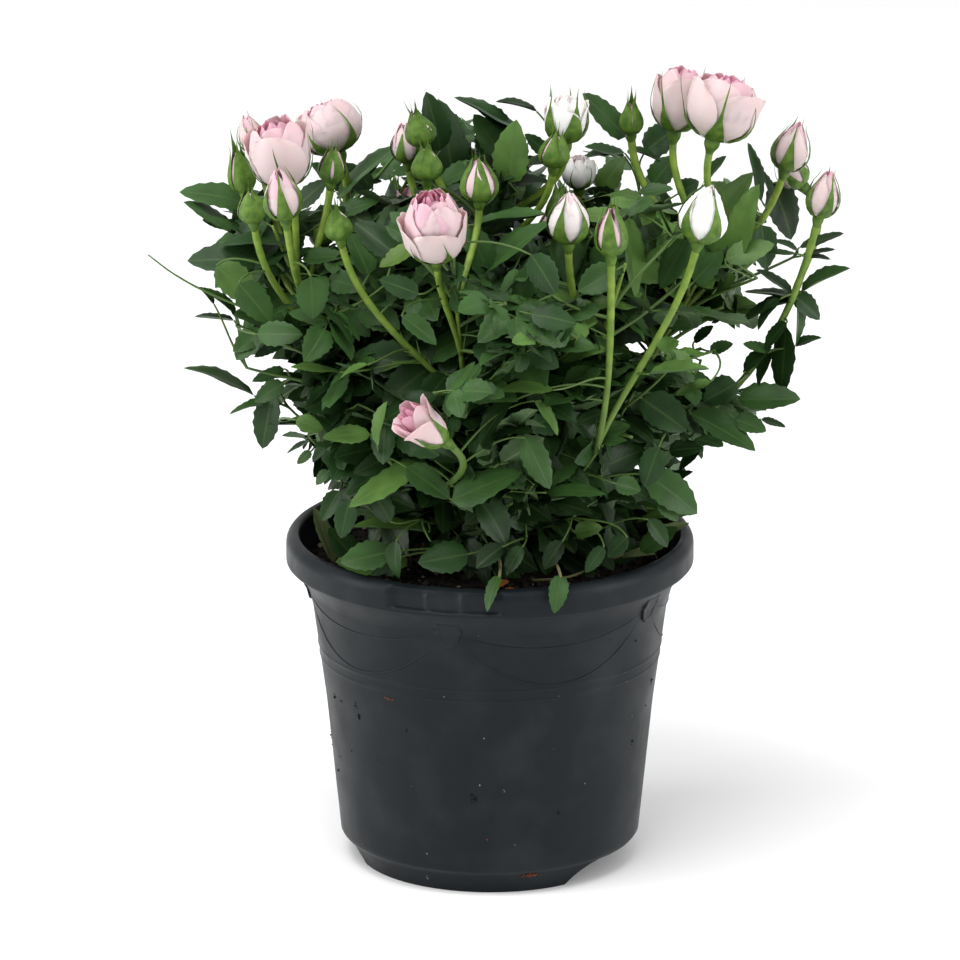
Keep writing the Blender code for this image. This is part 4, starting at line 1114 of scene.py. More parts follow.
def blade_template():
    """A blade's points as shares across and along it, which of them are on the lower side, and its faces.

    One point at the root, then five across the upper side and one at the back for each station, then one at
    the tip.
    """
    count = BLADE_STATIONS - 1
    along = np.arange(1, BLADE_STATIONS) / BLADE_STATIONS
    s = np.concatenate([[0], np.tile([-1, -0.5, 0, 0.5, 1, 0], count), [0]])
    t = np.concatenate([[0], np.repeat(along, 6), [1]])
    lower = np.concatenate([[False], np.tile([False] * 5 + [True], count), [False]])
    first, tip = 1 + 6 * np.arange(count), 6 * count + 1
    body = [np.stack([first[:-1] + a, first[:-1] + b, first[1:] + b, first[1:] + a], -1)
            for a, b in ((0, 1), (1, 2), (2, 3), (3, 4), (5, 0), (4, 5))]
    ends_up = [(0, 1 + k + 1, 1 + k) for k in range(4)]
    ends_up += [(tip, first[-1] + k, first[-1] + k + 1) for k in range(4)]
    ends_down = [(0, 1, 6), (0, 6, 5), (tip, first[-1] + 5, first[-1]), (tip, first[-1] + 4, first[-1] + 5)]
    under = np.repeat([False, True, False, True], [4 * len(body[0]), 2 * len(body[0]), 8, 4])
    return s, t, lower, [np.concatenate(body), np.array(ends_up + ends_down)], under


def blades(roots, ways, ups, lengths, rng, unrest=1.0, widths=None):
    """Leaflets as (copies, points, 3).

    Across, a point stands at its share of the outline, drawn in at every other station for the teeth.
    Upwards, the two halves fold up from the midrib and bulge, the margin waves, the tip droops, and the
    whole blade twists. unrest scales the wave and the twist. widths are those of real leaves where they
    aren't given.
    """
    s, t, lower, _, _ = blade_template()
    n = len(roots)
    ways = unit(ways)
    across = unit(np.cross(ways, ups))
    ups = np.cross(across, ways)
    station = np.round(t * BLADE_STATIONS).astype(int)
    teeth = np.where((np.abs(s) == 1) & (station % 2 == 0), TOOTH, 1.0)
    widths = lengths * LEAFLET_WIDTH * rng.uniform(0.88, 1.12, n) if widths is None else widths
    half = widths[:, None] / 2 * blade_outline(t) * teeth
    x = s * half
    fold = rng.uniform(*FOLD, (n, 1))
    droop = rng.uniform(*DROOP, (n, 1))
    twist = unrest * rng.uniform(-TWIST, TWIST, (n, 1))
    phase = rng.uniform(0, 2 * np.pi, (n, 1))
    z = fold * np.abs(x) + BULGE * half * (1 - (2 * np.abs(s) - 1) ** 2) - droop * lengths[:, None] * t**2
    z = z + unrest * WAVE * half * np.sin(2.5 * np.pi * t + phase + s) * np.abs(s)
    z = z - np.where(lower, 0.035 * half + 0.25 * MM, 0)
    turn = twist * t
    x, z = x * np.cos(turn) - z * np.sin(turn), x * np.sin(turn) + z * np.cos(turn)
    y = t * lengths[:, None]
    legs = zip((x, y, z), (across, ways, ups))
    return sum((part[..., None] * way[:, None] for part, way in legs), roots[:, None])


def blade_map():
    """Where each point of a blade lies on its map: across from 0 to 1, and along."""
    s, t, *_ = blade_template()
    return np.stack([0.5 + 0.5 * s, t], -1)


def build_leaves(leaves, placed):
    """The leaflets, in several pieces, and the stalks that carry them."""
    rng = np.random.default_rng(SEED)
    rows = [(*blade, leaf.up, leaf.green) for leaf in leaves for blade in leaf.blades()]
    roots, ways, lengths, ups, greens = zip(*rows)
    lengths = np.array(lengths) * rng.uniform(0.88, 1.1, len(rows))
    ups = rows_of(ups) + rng.normal(0, 0.22, (len(rows), 3))
    points = blades(rows_of(roots), rows_of(ways), ups, lengths, rng)
    own = blades(placed.roots, placed.ways, placed.ups, placed.lengths, rng, 0.5, placed.widths)
    points, greens = np.concatenate([points, own]), np.concatenate([greens, placed.greens])
    _, _, _, faces, under = blade_template()
    slots = np.where(under, len(GREENS), greens[:, None])
    pieces = math.ceil(len(points) * TRIANGLES_PER_BLADE / PIECE_LIMIT)
    for number, part in enumerate(np.array_split(np.arange(len(points)), pieces)):
        batch = Batch().add(points[part], faces, slots[part], place=blade_map())
        batch.build(f"leaves_{number + 1}", [*GREENS, "leaf_underside"], sharp=70)

    paths = np.array([rows_of(leaf.rachis(share) for share in np.linspace(0, 1, 6)) for leaf in leaves])
    sizes = np.array([leaf.size for leaf in leaves])
    radii = RACHIS_RADIUS * sizes[:, None] * np.linspace(1.5, 0.75, 6)
    Batch().add(*tubes(paths, radii, 5)).build("leaf_stalks", ["twig_green"])


def build_low_leaves():
    """Single leaves that hang over the pot's edge or lie on the soil, and bits of dry stalk."""
    rng = np.random.default_rng(SEED + 5)
    roots, tips, ups, kinds, shapes = zip(*LOW_LEAVES)
    names = sorted(set(kinds))
    roots, tips = np.array(roots) * MM, np.array(tips) * MM
    lengths = np.linalg.norm(tips - roots, axis=1)
    points = blades(roots, tips - roots, np.array(ups), lengths, rng, 0.4, lengths * shapes)
    slots = [names.index(kind) for kind in kinds]
    batch = Batch().add(points, blade_template()[3], slots, place=blade_map())
    for path in LYING_STALKS:
        path = resampled([Vector(place) * MM for place in path], 12)
        batch.add(*tubes(path, np.full(12, 0.8 * MM), 6), len(names), place=(0, 0))
    batch.build("low_leaves", [*names, "dry_stalk"], sharp=70)


# ---------------------------------------------------------------- shoots and canes


def build_shoots(masses):
    """Stems, stalks and twigs as far as they carry something, swollen a little at every node."""
    batch = Batch()
    for shoot in (shoot for mass in masses for shoot in mass.shoots if shoot.used >= LEAST_DRAWN):
        share = min(1.0, shoot.used / shoot.length + 0.01)
        place = np.linspace(0, share, 8 + int(shoot.used / (6 * MM)))
        path = along_path(resampled(shoot.path, 60), place, np.linspace(0, 1, 60))
        radii = shoot.radius + (shoot.tip_radius - shoot.radius) * place
        radii = radii * (1 + 0.12 * np.cos(2 * np.pi * place * shoot.length / INTERNODE) ** 8)
        batch.add(*tubes(path, radii, 8), int(shoot.radius <= FINE_RADIUS))
    batch.build("green_shoots", ["green_bark", "twig_green"])


CANE_RINGS, CANE_SIDES = 60, 20
CANE_NODE = 15 * MM
CROWN_RINGS, CROWN_SIDES = 44, 72
CROWN_SUNK = 1.5 * MM


def build_canes(masses):
    """The canes as lumpy tubes: rings at the nodes, shallow ridges along them and a knotty skin."""
    rng = np.random.default_rng(SEED + 1)
    batch = Batch()
    turn = circle(CANE_SIDES)
    for mass in masses:
        path = resampled(mass.cane.path, CANE_RINGS)
        path[0] -= (path[1] - path[0]) * 1.5
        share = np.linspace(0, 1, CANE_RINGS)[:, None]
        base = CANE_RADIUS + (CANE_TIP_RADIUS - CANE_RADIUS) * share
        nodes = 0.16 * np.cos(np.pi * share * mass.cane.length / CANE_NODE + rng.uniform(0, 3)) ** 12
        ridges = 0.05 * np.sin(3 * turn + 5 * share + rng.uniform(0, 6))
        ridges = ridges + 0.03 * np.sin(5 * turn - 9 * share)
        skin = rng.normal(0, 0.018, (CANE_RINGS, CANE_SIDES))
        batch.add(*tubes(path, base * (1 + nodes + ridges + skin), CANE_SIDES))
    batch.build("canes", ["cane_bark"], CANES, "cane_bark")


def build_crown():
    """The woody crown: a surface of revolution whose radius swells in knobs and is scored by cracks."""
    foot = SOIL_TOP - CROWN_SUNK
    profile = mm(CROWN_PROFILE)
    share, own = np.linspace(0, 1, CROWN_RINGS), np.linspace(0, 1, len(CROWN_PROFILE))
    r, at = (np.interp(share, own, row)[:, None] for row in profile)
    angle = circle(CROWN_SIDES)
    knobs = 1 + 0.07 * np.sin(3 * angle + 90 * (at + SOIL_TOP)) + 0.05 * np.cos(5 * angle + 1)
    cracks = 0.04 * np.abs(np.sin(9 * angle + 6 * np.sin(200 * at))) + 0.03 * np.sin(17 * angle + 700 * at)
    shell = turned(polar(r * (knobs - cracks), angle, foot + at), foot, foot + profile[1, -1] + 2 * MM)
    Batch().add(*shell).build("crown_knob", ["crown_wood"], ["crown"], "crown_wood")


# ---------------------------------------------------------------- flower heads

PETAL_ROWS, PETAL_COLUMNS = 9, 9
SEPAL_ROWS, SEPAL_COLUMNS = 9, 5

# How each kind of head is shaped: the level of its widest part as a share of its height, and the share of
# its width that it draws in by from there to its top
BOWLS = {
    "bloom": (0.54, 0.24), "cup": (0.55, 0.46), "globe": (0.58, 0.36), "ruffled": (0.6, 0.2),
    "chalice": (0.54, 0.24), "opening": (0.42, 0.93), "bud": (0.38, 0.95), "parting": (0.38, 0.95),
}
# Whorls of petals from the outside in: count, reach and height as shares of the head's half width and
# height, added draw at the top, half width of a petal as an angle in radians, roll of its lip, and its pink
WHORLS = {
    "bloom": (
        (3, 1.0, 0.93, -0.1, 1.22, 0.1, 0.12), (3, 0.94, 0.99, 0.06, 1.24, 0.04, 0.26),
        (3, 0.84, 1.01, 0.18, 1.28, 0.01, 0.46), (3, 0.7, 1.01, 0.26, 1.3, 0.0, 0.66),
        (3, 0.53, 1.0, 0.32, 1.3, 0.0, 0.84), (3, 0.36, 0.99, 0.38, 1.3, 0.0, 1.0),
        (2, 0.19, 0.98, 0.44, 1.7, 0.0, 1.0),
    ),
    "cup": (
        (3, 1.0, 0.95, -0.06, 1.25, 0.03, 0.1), (3, 0.94, 1.0, 0.02, 1.25, 0.01, 0.24),
        (3, 0.84, 1.02, 0.08, 1.28, 0.0, 0.46), (3, 0.64, 1.02, 0.18, 1.3, 0.0, 0.7),
        (3, 0.4, 1.0, 0.28, 1.3, 0.0, 0.95),
    ),
    "globe": (
        (4, 1.04, 0.66, -0.36, 0.98, 0.05, 0.1), (3, 0.95, 0.94, 0.04, 1.34, 0.03, 0.3),
        (3, 0.89, 0.99, 0.1, 1.36, 0.01, 0.46), (3, 0.79, 1.01, 0.14, 1.38, 0.0, 0.62),
        (3, 0.66, 1.02, 0.18, 1.38, 0.0, 0.78), (3, 0.5, 1.02, 0.22, 1.4, 0.0, 0.9),
        (3, 0.34, 1.01, 0.26, 1.4, 0.0, 1.0), (2, 0.18, 1.0, 0.3, 1.7, 0.0, 1.0),
    ),
    "ruffled": (
        (3, 1.0, 0.88, -0.36, 1.1, 0.2, 0.22), (3, 0.9, 1.0, -0.06, 1.2, 0.08, 0.4),
        (3, 0.68, 1.02, 0.06, 1.25, 0.04, 0.62), (3, 0.4, 1.0, 0.12, 1.3, 0.0, 0.9),
    ),
    "opening": (
        (3, 1.0, 0.96, 0.0, 1.25, 0.02, 0.12), (3, 0.88, 1.02, 0.0, 1.2, 0.0, 0.42),
        (2, 0.6, 1.03, 0.0, 1.5, 0.0, 0.75),
    ),
    "bud": (
        (3, 1.0, 0.95, 0.0, 1.3, 0.0, 0.25), (2, 0.7, 0.98, 0.0, 1.6, 0.0, 0.6),
    ),
}
WHORLS["chalice"] = WHORLS["bloom"]
WHORLS["parting"] = WHORLS["bud"]
# Heads by number: the white share of their petals, and where the first sepal stands, in degrees
LOOKS = {11: (0.9, 107), 14: (0.45, 60), 16: (0.9, 54), 25: (0.8, 54)}
# Sepals: length as a share of the head's height, half width as a share of the head's, the share of its
# length where its broad part ends and the power that part narrows by, and how far its tip may stand off
SEPALS = {
    "bloom": (0.94, 0.36, 0.56, 0.8, 0.42), "cup": (0.92, 0.38, 0.58, 0.8, 0.30),
    "chalice": (1.24, 0.80, 0.78, 0.9, 0.16), "globe": (0.52, 0.34, 0.70, 0.8, 0.18),
    "ruffled": (0.80, 0.44, 0.80, 0.9, 0.24), "opening": (1.04, 0.58, 0.78, 0.75, 0.36),
    "bud": (1.36, 0.96, 0.86, 0.42, 0.50), "parting": (1.24, 0.74, 0.82, 0.5, 0.4),
}
SEPALS_EACH = 5
PETAL_THICKNESS = 0.35 * MM
SEPAL_THICKNESS = 0.3 * MM
PETAL_ROOT_REACH = 0.9 * MM  # how far from the head's axis its petals stand at their roots
PETAL_ROOT = np.array((0.51, 0.47, 0.35))
PETAL_WHITE = np.array((0.76, 0.74, 0.71))
PETAL_PALE = np.array((0.53, 0.43, 0.415))
PETAL_PINK = np.array((0.60, 0.265, 0.37))


def bowl(level, widest, draw):
    """Reach from the axis, 0 to 1, at a level from 0 to 1.

    Below the widest level it is a quarter of an ellipse. Above it the reach falls by a power to 1 - draw.
    """
    low = np.sqrt(np.clip(1 - (1 - np.minimum(level, widest) / widest) ** 2, 0, 1))
    high = np.clip((level - widest) / (1 - widest), 0, 1.2)
    return low * np.maximum(1 - draw * high**1.7, 0.03)


def in_frame(heads, which, angle, reach, height):
    """World points from an angle round each head's axis, a reach from it and a height along it."""
    base = rows_of(head.base for head in heads)[which][:, None]
    axis = rows_of(head.axis for head in heads)[which][:, None]
    first = unit(np.cross(axis, [0.0, 1.0, 0.0]))
    out = first * np.cos(angle)[..., None] + np.cross(axis, first) * np.sin(angle)[..., None]
    return base + out * reach[..., None] + axis * height[..., None]


def by_column(rows):
    """The first number of each row as an index, and the others as upright arrays."""
    table = np.array(rows)
    return table[:, 0].astype(int), *table[:, 1:].T[..., None]


def build_petals(heads):
    """Petals: strips of a bowl, round at the top, each one over the next one's edge.

    A petal's points have a share along it and a share across; the share along is less at its corners. The
    level is that share to a power, so that rows lie close where the bowl is flat. The width swells, then
    rounds off.
    """
    rng = np.random.default_rng(SEED + 2)
    rows = []
    for index, head in enumerate(heads):
        turn = rng.uniform(0, 2 * np.pi)
        widest, draw = BOWLS[head.kind]
        half = head.width / 2
        for count, reach, height, more, spread, roll, pink in WHORLS[head.kind]:
            turn += np.pi / count
            sizes = (reach * half, height * head.length, widest, draw + more, spread, roll * half, pink)
            for k in range(count):
                angle = turn + 2 * np.pi * k / count + rng.uniform(-0.14, 0.14)
                rows.append((index, angle, *sizes))
    which, angle, reach, height, widest, draw, spread, roll, pink = by_column(rows)
    each = (len(rows), 1)
    reach = reach * rng.uniform(0.95, 1.03, each)
    height = height * rng.uniform(0.93, 1.02, each)
    draw = np.minimum(draw + rng.uniform(-0.12, 0.1, each) * (draw < 0.8), 0.97)
    spread = spread * rng.uniform(0.9, 1.1, each)
    v, u = shares(np.sin(np.pi / 2 * np.linspace(0, 1, PETAL_ROWS)), np.linspace(-1, 1, PETAL_COLUMNS))
    upper = v * (1 - rng.uniform(0.05, 0.13, each) * np.abs(u) ** 2.4)
    level = upper**1.5
    lip = smooth(0.66, 1.0, upper)
    ripple = 0.045 * reach * np.sin(2.4 * np.pi * u + rng.uniform(0, 2 * np.pi, each)) * lip
    out = PETAL_ROOT_REACH + (reach - PETAL_ROOT_REACH) * bowl(level, widest, draw)
    out = out + u * 0.5 * MM + ripple + roll * lip
    up = level * height - 0.4 * roll * lip + 0.4 * ripple
    swell = 0.55 + 0.45 * np.sin(np.pi / 2 * np.minimum(1, v / 0.55))
    around = angle + u * spread * swell * np.sqrt(1 - 0.70 * np.clip((v - 0.48) / 0.52, 0, 1) ** 3)
    points = in_frame(heads, which, around, out, up)
    points, faces = sheets(points, PETAL_ROWS, PETAL_COLUMNS, PETAL_THICKNESS)
    share = np.concatenate([v, v.reshape(PETAL_ROWS, PETAL_COLUMNS)[1:-1, 1:-1].reshape(-1)])
    inner = np.arange(len(share)) >= len(v)
    pinkness = pink * (0.35 + 0.65 * smooth(0.2, 0.9, share)) + 0.12 * inner
    pinkness = np.clip(pinkness * rng.uniform(0.7, 1.3, each), 0, 1)[..., None]
    white = np.array([LOOKS.get(index, (0, 0))[0] for index in range(len(heads))])[which][:, None, None]
    at_root = (1 - smooth(0.05, 0.5, share))[None, :, None] * 0.6
    tint = PETAL_PALE
    for share, colour in ((pinkness, PETAL_PINK), (white, PETAL_WHITE), (at_root, PETAL_ROOT)):
        tint = tint * (1 - share) + colour * share
    Batch().add(points, faces, tint=tint).build("petals", ["petal_silk"], slot=None, sharp=75)


def build_calyxes(heads):
    """Under each head a small urn, and sepals that lie on the petals' bowl and end in thin tips."""
    rng = np.random.default_rng(SEED + 3)
    rows = []
    for index, head in enumerate(heads):
        turn = rng.uniform(0, 2 * np.pi)
        if index in LOOKS:
            turn = math.radians(LOOKS[index][1])
        rise, more = WHORLS[head.kind][0][2:4]
        widest, draw = BOWLS[head.kind]
        sizes = (head.width / 2, head.length, *SEPALS[head.kind], widest, draw + more, rise)
        for k in range(SEPALS_EACH):
            angle = turn + 2 * np.pi * k / SEPALS_EACH + rng.uniform(-0.1, 0.1)
            rows.append((index, angle, *sizes))
    which, angle, reach, height, long, spread, ends, power, stand, widest, draw, rise = by_column(rows)
    each = (len(rows), 1)
    long = long * rng.uniform(0.86, 1.14, each)
    v, u = shares(np.linspace(0, 1, SEPAL_ROWS), np.linspace(-1, 1, SEPAL_COLUMNS))
    level = v**1.4 * long
    ring = reach * bowl(level / rise, widest, draw) + PETAL_ROOT_REACH
    outline = np.minimum(1, 0.5 + v / 0.3) * np.clip(1 - v / ends, 0, 1) ** power
    half = spread * reach * np.maximum(outline, 0.15 * (1 - v) ** 0.7) + 0.3 * MM * (1 - v)
    angle = angle + rng.uniform(-0.4, 0.4, each) * v**2
    around = angle + u * np.minimum(half / np.maximum(ring, 0.3 * reach), 0.67)
    keel = 0.45 * MM * (1 - np.abs(u)) * (1 - v)
    free = smooth(0.5, 1.0, v) * rng.uniform(0, 1, each) * stand * reach
    out = np.maximum(ring, 1.2 * MM) + keel + free
    points = in_frame(heads, which, around, out, level * height - 0.4 * MM)
    batch = Batch().add(*sheets(points, SEPAL_ROWS, SEPAL_COLUMNS, SEPAL_THICKNESS))

    urn_radius = np.array([2.4 * MM + 0.05 * head.width for head in heads])
    share = np.linspace(0, 1, 9)
    swell = STALK_TIP_RADIUS + (urn_radius[:, None] - STALK_TIP_RADIUS) * smooth(0, 0.6, share)
    swell[:, -1] = 0.6 * urn_radius
    length = np.array([0.15 * head.length + 4 * MM for head in heads])
    start, axis = rows_of(head.base for head in heads), rows_of(head.axis for head in heads)
    path = start[:, None] + axis[:, None] * (length[:, None] * (share - 0.8))[..., None]
    batch.add(*tubes(path, swell, 14)).build("calyxes", ["calyx_green"], sharp=70)


# ---------------------------------------------------------------- pot and soil

POT_AROUND = 360
# Radius and height of points on the foot's edge, the wall, the shoulder, the lip and the inside
FOOT_EDGE = ((80.5, 12.5), (81.1, 12.9), (83, 13.2), (84, 14.4))
WALL = ((84.7, 15.5), (92.4, 92), (100.1, 149), (103.2, 160.6))
SHOULDER = ((105.9, 165.5), (108.5, 169.5), (110.2, 172.2), (110.7, 173.2))
LIP_EDGE = ((111.6, 173.0), (114.2, 173.4), (114.9, 174.2))
LIP_TOP = (
    (114.8, 185.4), (114.2, 187), (112.9, 188.7), (111.2, 189.8),
    (109.6, 190), (108.3, 189.7), (107.6, 188.8), (107.3, 187.4),
)
INSIDE = ((107, 182), (106.4, 176), (101.7, 164), (97.5, 148), (90, 92), (80, 22), (76, 15.5), (40, 15))
SOIL_COLUMN = ((76, 17), (79, 24), (89, 92), (96.6, 148))
WALL_RINGS = (126, 119.7)
RING_RELIEF = 0.4 * MM
RING_WIDTH = 0.7 * MM
PANEL_MIDDLE = math.radians(-90 - 12.8)
PANEL_HALF = math.radians(17.2)
PANEL_DEPTH = 2.4 * MM
PANEL_FOOT = (176.2 * MM, 177.4 * MM)
PANEL_HEAD = (188.2 * MM, 186.8 * MM)
PANEL_RIBS = (-0.084, 0.084)
SWAGS = 5
CREST_AZIMUTH = math.radians(-90 - 13)
CREST_HALF = math.radians(4.4)
CREST_TOP = 168.5 * MM
CREST_DEPTH = 16.4 * MM
CREST_RIM = 1.1 * MM
CREST_DIP = 0.45 * MM
CREST_SUNK = 0.3 * MM
CORDS = ((160 * MM, 9 * MM, 0.55 * MM), (155 * MM, 27 * MM, 0.7 * MM))  # height of the ends, drop, radius
CORD_POINTS, CORD_SIDES = 64, 8
CREST_ROWS, CREST_COLUMNS = 16, 17
CREST_THICKNESS = 0.6 * MM
SOIL_RINGS, SOIL_SIDES = 60, 180
SOIL_REACH = 104.2 * MM
CRUMBS = 1500
CRUMB_REACH = 102 * MM
LOOSE_SPECKS = 70
LOOSE_SPECK_SIZE = 0.65
SPECK_TOP = 170 * MM
# Soil on the wall: azimuth from the front, height, half width and height of the patch, count, size, kind
WALL_SPOTS = (
    (-53.4, 103.6, 1.4, 2.0, 6, 0.9, 0), (-52.3, 98, 1.0, 2.6, 8, 1.0, 0),
    (-69, 102.5, 2.2, 1.0, 5, 0.9, 0), (-63, 102, 1.2, 1.2, 4, 0.8, 0), (-36, 115.4, 2.4, 0.7, 12, 0.7, 1),
    (-30, 98, 0.7, 1.4, 4, 0.8, 0), (-5.4, 61.2, 1.8, 2.6, 16, 1.0, 0), (-3.6, 69, 1.0, 0.8, 3, 0.7, 2),
    (4.7, 65.5, 0.8, 0.6, 3, 0.6, 2), (25.5, 48.3, 0.7, 1.0, 4, 0.8, 0), (61.5, 79.8, 0.5, 2.2, 5, 0.8, 0),
    (-1, 35.2, 0.6, 0.9, 5, 0.6, 1), (9.4, 31.8, 0.4, 0.4, 2, 0.6, 2), (16.7, 10.8, 4.6, 0.9, 64, 0.8, 1),
    (-24.6, 24.2, 1.0, 0.6, 4, 0.6, 2), (-27, 7, 1.2, 1.0, 5, 0.6, 2), (-75, 56, 1.5, 2.5, 6, 0.8, 0),
    (-84, 72, 1.2, 3.0, 6, 0.8, 0), (74, 110, 0.8, 2.0, 5, 0.7, 0), (60.5, 157, 0.4, 2.4, 6, 0.7, 0),
    (55.2, 141.6, 0.3, 1.6, 4, 0.6, 0), (150, 60, 9.0, 8.0, 16, 0.8, 0), (-150, 110, 10.0, 8.0, 16, 0.8, 0),
)


def wall_radius(height):
    """The wall's outer radius at a height, straight between the points of its profile."""
    radius, level = mm(WALL + SHOULDER)
    return np.interp(height, level, radius)


def outer_profile():
    """Radius and height of the pot from the foot's top up the wall and over the lip, and down the inside.

    Straight stretches are cut finely where the wall has relief.
    """
    around_rings = np.add.outer(WALL_RINGS, [-1.3, -0.6, 0, 0.6, 1.3]).reshape(-1)
    levels = np.unique(np.append(np.arange(15.5, 160, 2.4), around_rings))
    wall = zip(wall_radius(levels * MM) / MM, levels)
    lip = [(115, 175.0 + 0.8 * i) for i in range(12)]
    return mm([*FOOT_EDGE, *wall, WALL[-1], *SHOULDER, *LIP_EDGE, *lip, *LIP_TOP, *INSIDE])


def arch_height(angle):
    """Height of the drainage arch's roof at an azimuth, nothing outside it."""
    height = np.zeros_like(angle)
    for middle in NOTCH_AZIMUTHS:
        off = np.abs((angle - middle + np.pi) % (2 * np.pi) - np.pi) / NOTCH_HALF_ANGLE
        height = np.maximum(height, np.where(off < 1, FOOT_HEIGHT * (1 - 0.9 * np.minimum(off, 1) ** 5), 0))
    return height


def build_pot():
    """The pot as one closed surface of azimuth and place along its profile.

    The first rows run along the underside, into the drainage arches and up the foot; where there is no arch
    they lie flat. Higher up, rings of fine relief go round the wall, and the lip has a shallow sunk panel
    with two ribs.
    """
    angle = circle(POT_AROUND)
    arch = arch_height(angle)
    spread = (FOOT_TOP_RADIUS - FOOT_RADIUS) / FOOT_HEIGHT
    rows = [(30 * MM, 0), (NOTCH_DEPTH_RADIUS, 0), (NOTCH_DEPTH_RADIUS, arch)]
    rows.append((FOOT_RADIUS + spread * arch, arch))
    for share in (0.25, 0.5, 0.75):
        height = arch + (FOOT_HEIGHT - arch) * share
        rows.append((FOOT_RADIUS + spread * height, height))
    rows += zip(*outer_profile())
    radius, height = (np.stack([part + 0 * angle for part in column]) for column in zip(*rows))
    outside = np.cumsum(height >= RIM_TOP - 1e-6, 0) == 0
    for ring in WALL_RINGS:
        relief = RING_RELIEF * np.exp(-(((height - ring * MM) / RING_WIDTH) ** 2))
        radius = radius + np.where(outside, relief, 0)
    off = (angle - PANEL_MIDDLE + np.pi) % (2 * np.pi) - np.pi
    across = smooth(PANEL_HALF, PANEL_HALF - 0.05, np.abs(off))
    up = smooth(*PANEL_FOOT, height) * smooth(*PANEL_HEAD, height)
    rib = np.max([np.exp(-(((off - place) / 0.013) ** 2)) for place in PANEL_RIBS], 0)
    radius = radius - np.where(outside, PANEL_DEPTH * up * across * (1 - 0.8 * rib), 0)
    shell = turned(polar(radius, angle, height), 0, height[-1, 0])
    Batch().add(*shell).build("pot_shell", ["pot_plastic"], ["pot"], "pot_plastic", 38)


def build_relief():
    """Moulded swags round the shoulder: from crest to crest an upper and a lower cord, each a half-sunk
    round rib along a hanging arc, and at each crest a small tab with a scalloped foot.
    """
    batch = Batch()
    share = np.linspace(0, 1, CORD_POINTS)
    spread = 2 * np.pi / SWAGS
    hang = 4 * share * (1 - share)
    for k in range(SWAGS):
        start = CREST_AZIMUTH + k * spread
        angle = start + CREST_HALF + (spread - 2 * CREST_HALF) * share
        for top, drop, size in CORDS:
            height = top - drop * hang**0.85
            path = polar(wall_radius(height) - 0.3 * size, angle, height)
            thick = size * (0.35 + 0.65 * np.minimum(1, 8 * np.minimum(share, 1 - share)))
            batch.add(*tubes(path, thick, CORD_SIDES))
        batch.add(*crest(start))
    batch.build("pot_relief", ["pot_plastic"], ["pot"], "pot_plastic", 50)


def crest(azimuth):
    """A tab that comes down out of the shoulder: a grid over it, raised in a low rim round a dip.

    Its half width shrinks with the fourth power of the way down, and has a small horn; its foot is round.
    """
    v, u = shares(np.linspace(0, 1, CREST_ROWS), np.linspace(-1, 1, CREST_COLUMNS))
    height = CREST_TOP - CREST_DEPTH * (0.82 + 0.18 * np.cos(u * np.pi / 2)) * v
    rim = np.minimum((1 - v) * CREST_ROWS, (1 - np.abs(u)) * CREST_COLUMNS / 2)
    raised = CREST_RIM * smooth(0, 1.3, rim) - CREST_DIP * smooth(1.5, 4.5, rim)
    raised = raised * smooth(0, 0.4, v) - CREST_SUNK
    angle = azimuth + CREST_HALF * u * (0.92 - 0.42 * v**4 + 0.16 * np.exp(-(((v - 0.42) / 0.08) ** 2)))
    points = polar(wall_radius(height) + raised, angle, height)[None]
    return sheets(points, CREST_ROWS, CREST_COLUMNS, CREST_THICKNESS)


def soil_height(x, y):
    """Height of the soil: slow swells and two finer ripples, lower towards the wall."""
    swell = 1.6 * np.sin(31 * x + 1.3) * np.cos(27 * y + 0.4) + 1.1 * np.sin(83 * x - 61 * y + 2.1)
    fine = 0.7 * np.sin(211 * x + 97 * y) * np.cos(173 * y - 60 * x)
    fine = fine + 0.4 * np.sin(390 * x) * np.cos(411 * y)
    edge = 3.5 * smooth(80 * MM, 104 * MM, np.hypot(x, y))
    return SOIL_TOP + (swell + fine - edge - 0.6) * MM


def build_soil():
    """The soil: a lumpy top over a plain column that fills the pot."""
    angle = circle(SOIL_SIDES)
    column = np.stack([polar(radius, angle, height) for radius, height in mm(SOIL_COLUMN).T])
    top = polar(np.linspace(SOIL_REACH, 2 * MM, SOIL_RINGS)[:, None], angle, 0)
    top[..., 2] = soil_height(top[..., 0], top[..., 1])
    shell = turned(np.concatenate([column, top]), column[0, 0, 2], soil_height(0.0, 0.0))
    Batch().add(*shell).build("soil_bed", ["wet_compost"], ["soil"], "potting_soil")


def lumps(places, size, rng):
    """Points and faces of small crumbs: octahedra with uneven corners, of their sizes, at their places."""
    count = len(size)
    base = np.array([[1, 0, 0], [0, 1, 0], [-1, 0, 0], [0, -1, 0], [0, 0, 1], [0, 0, -1]], float)
    points = base * rng.uniform(0.45, 1.1, (count, 6, 1)) + rng.normal(0, 0.12, (count, 6, 3))
    faces = [(k, (k + 1) % 4, 4) for k in range(4)] + [((k + 1) % 4, k, 5) for k in range(4)]
    return points * size[:, None, None] + places[:, None], [np.array(faces)]


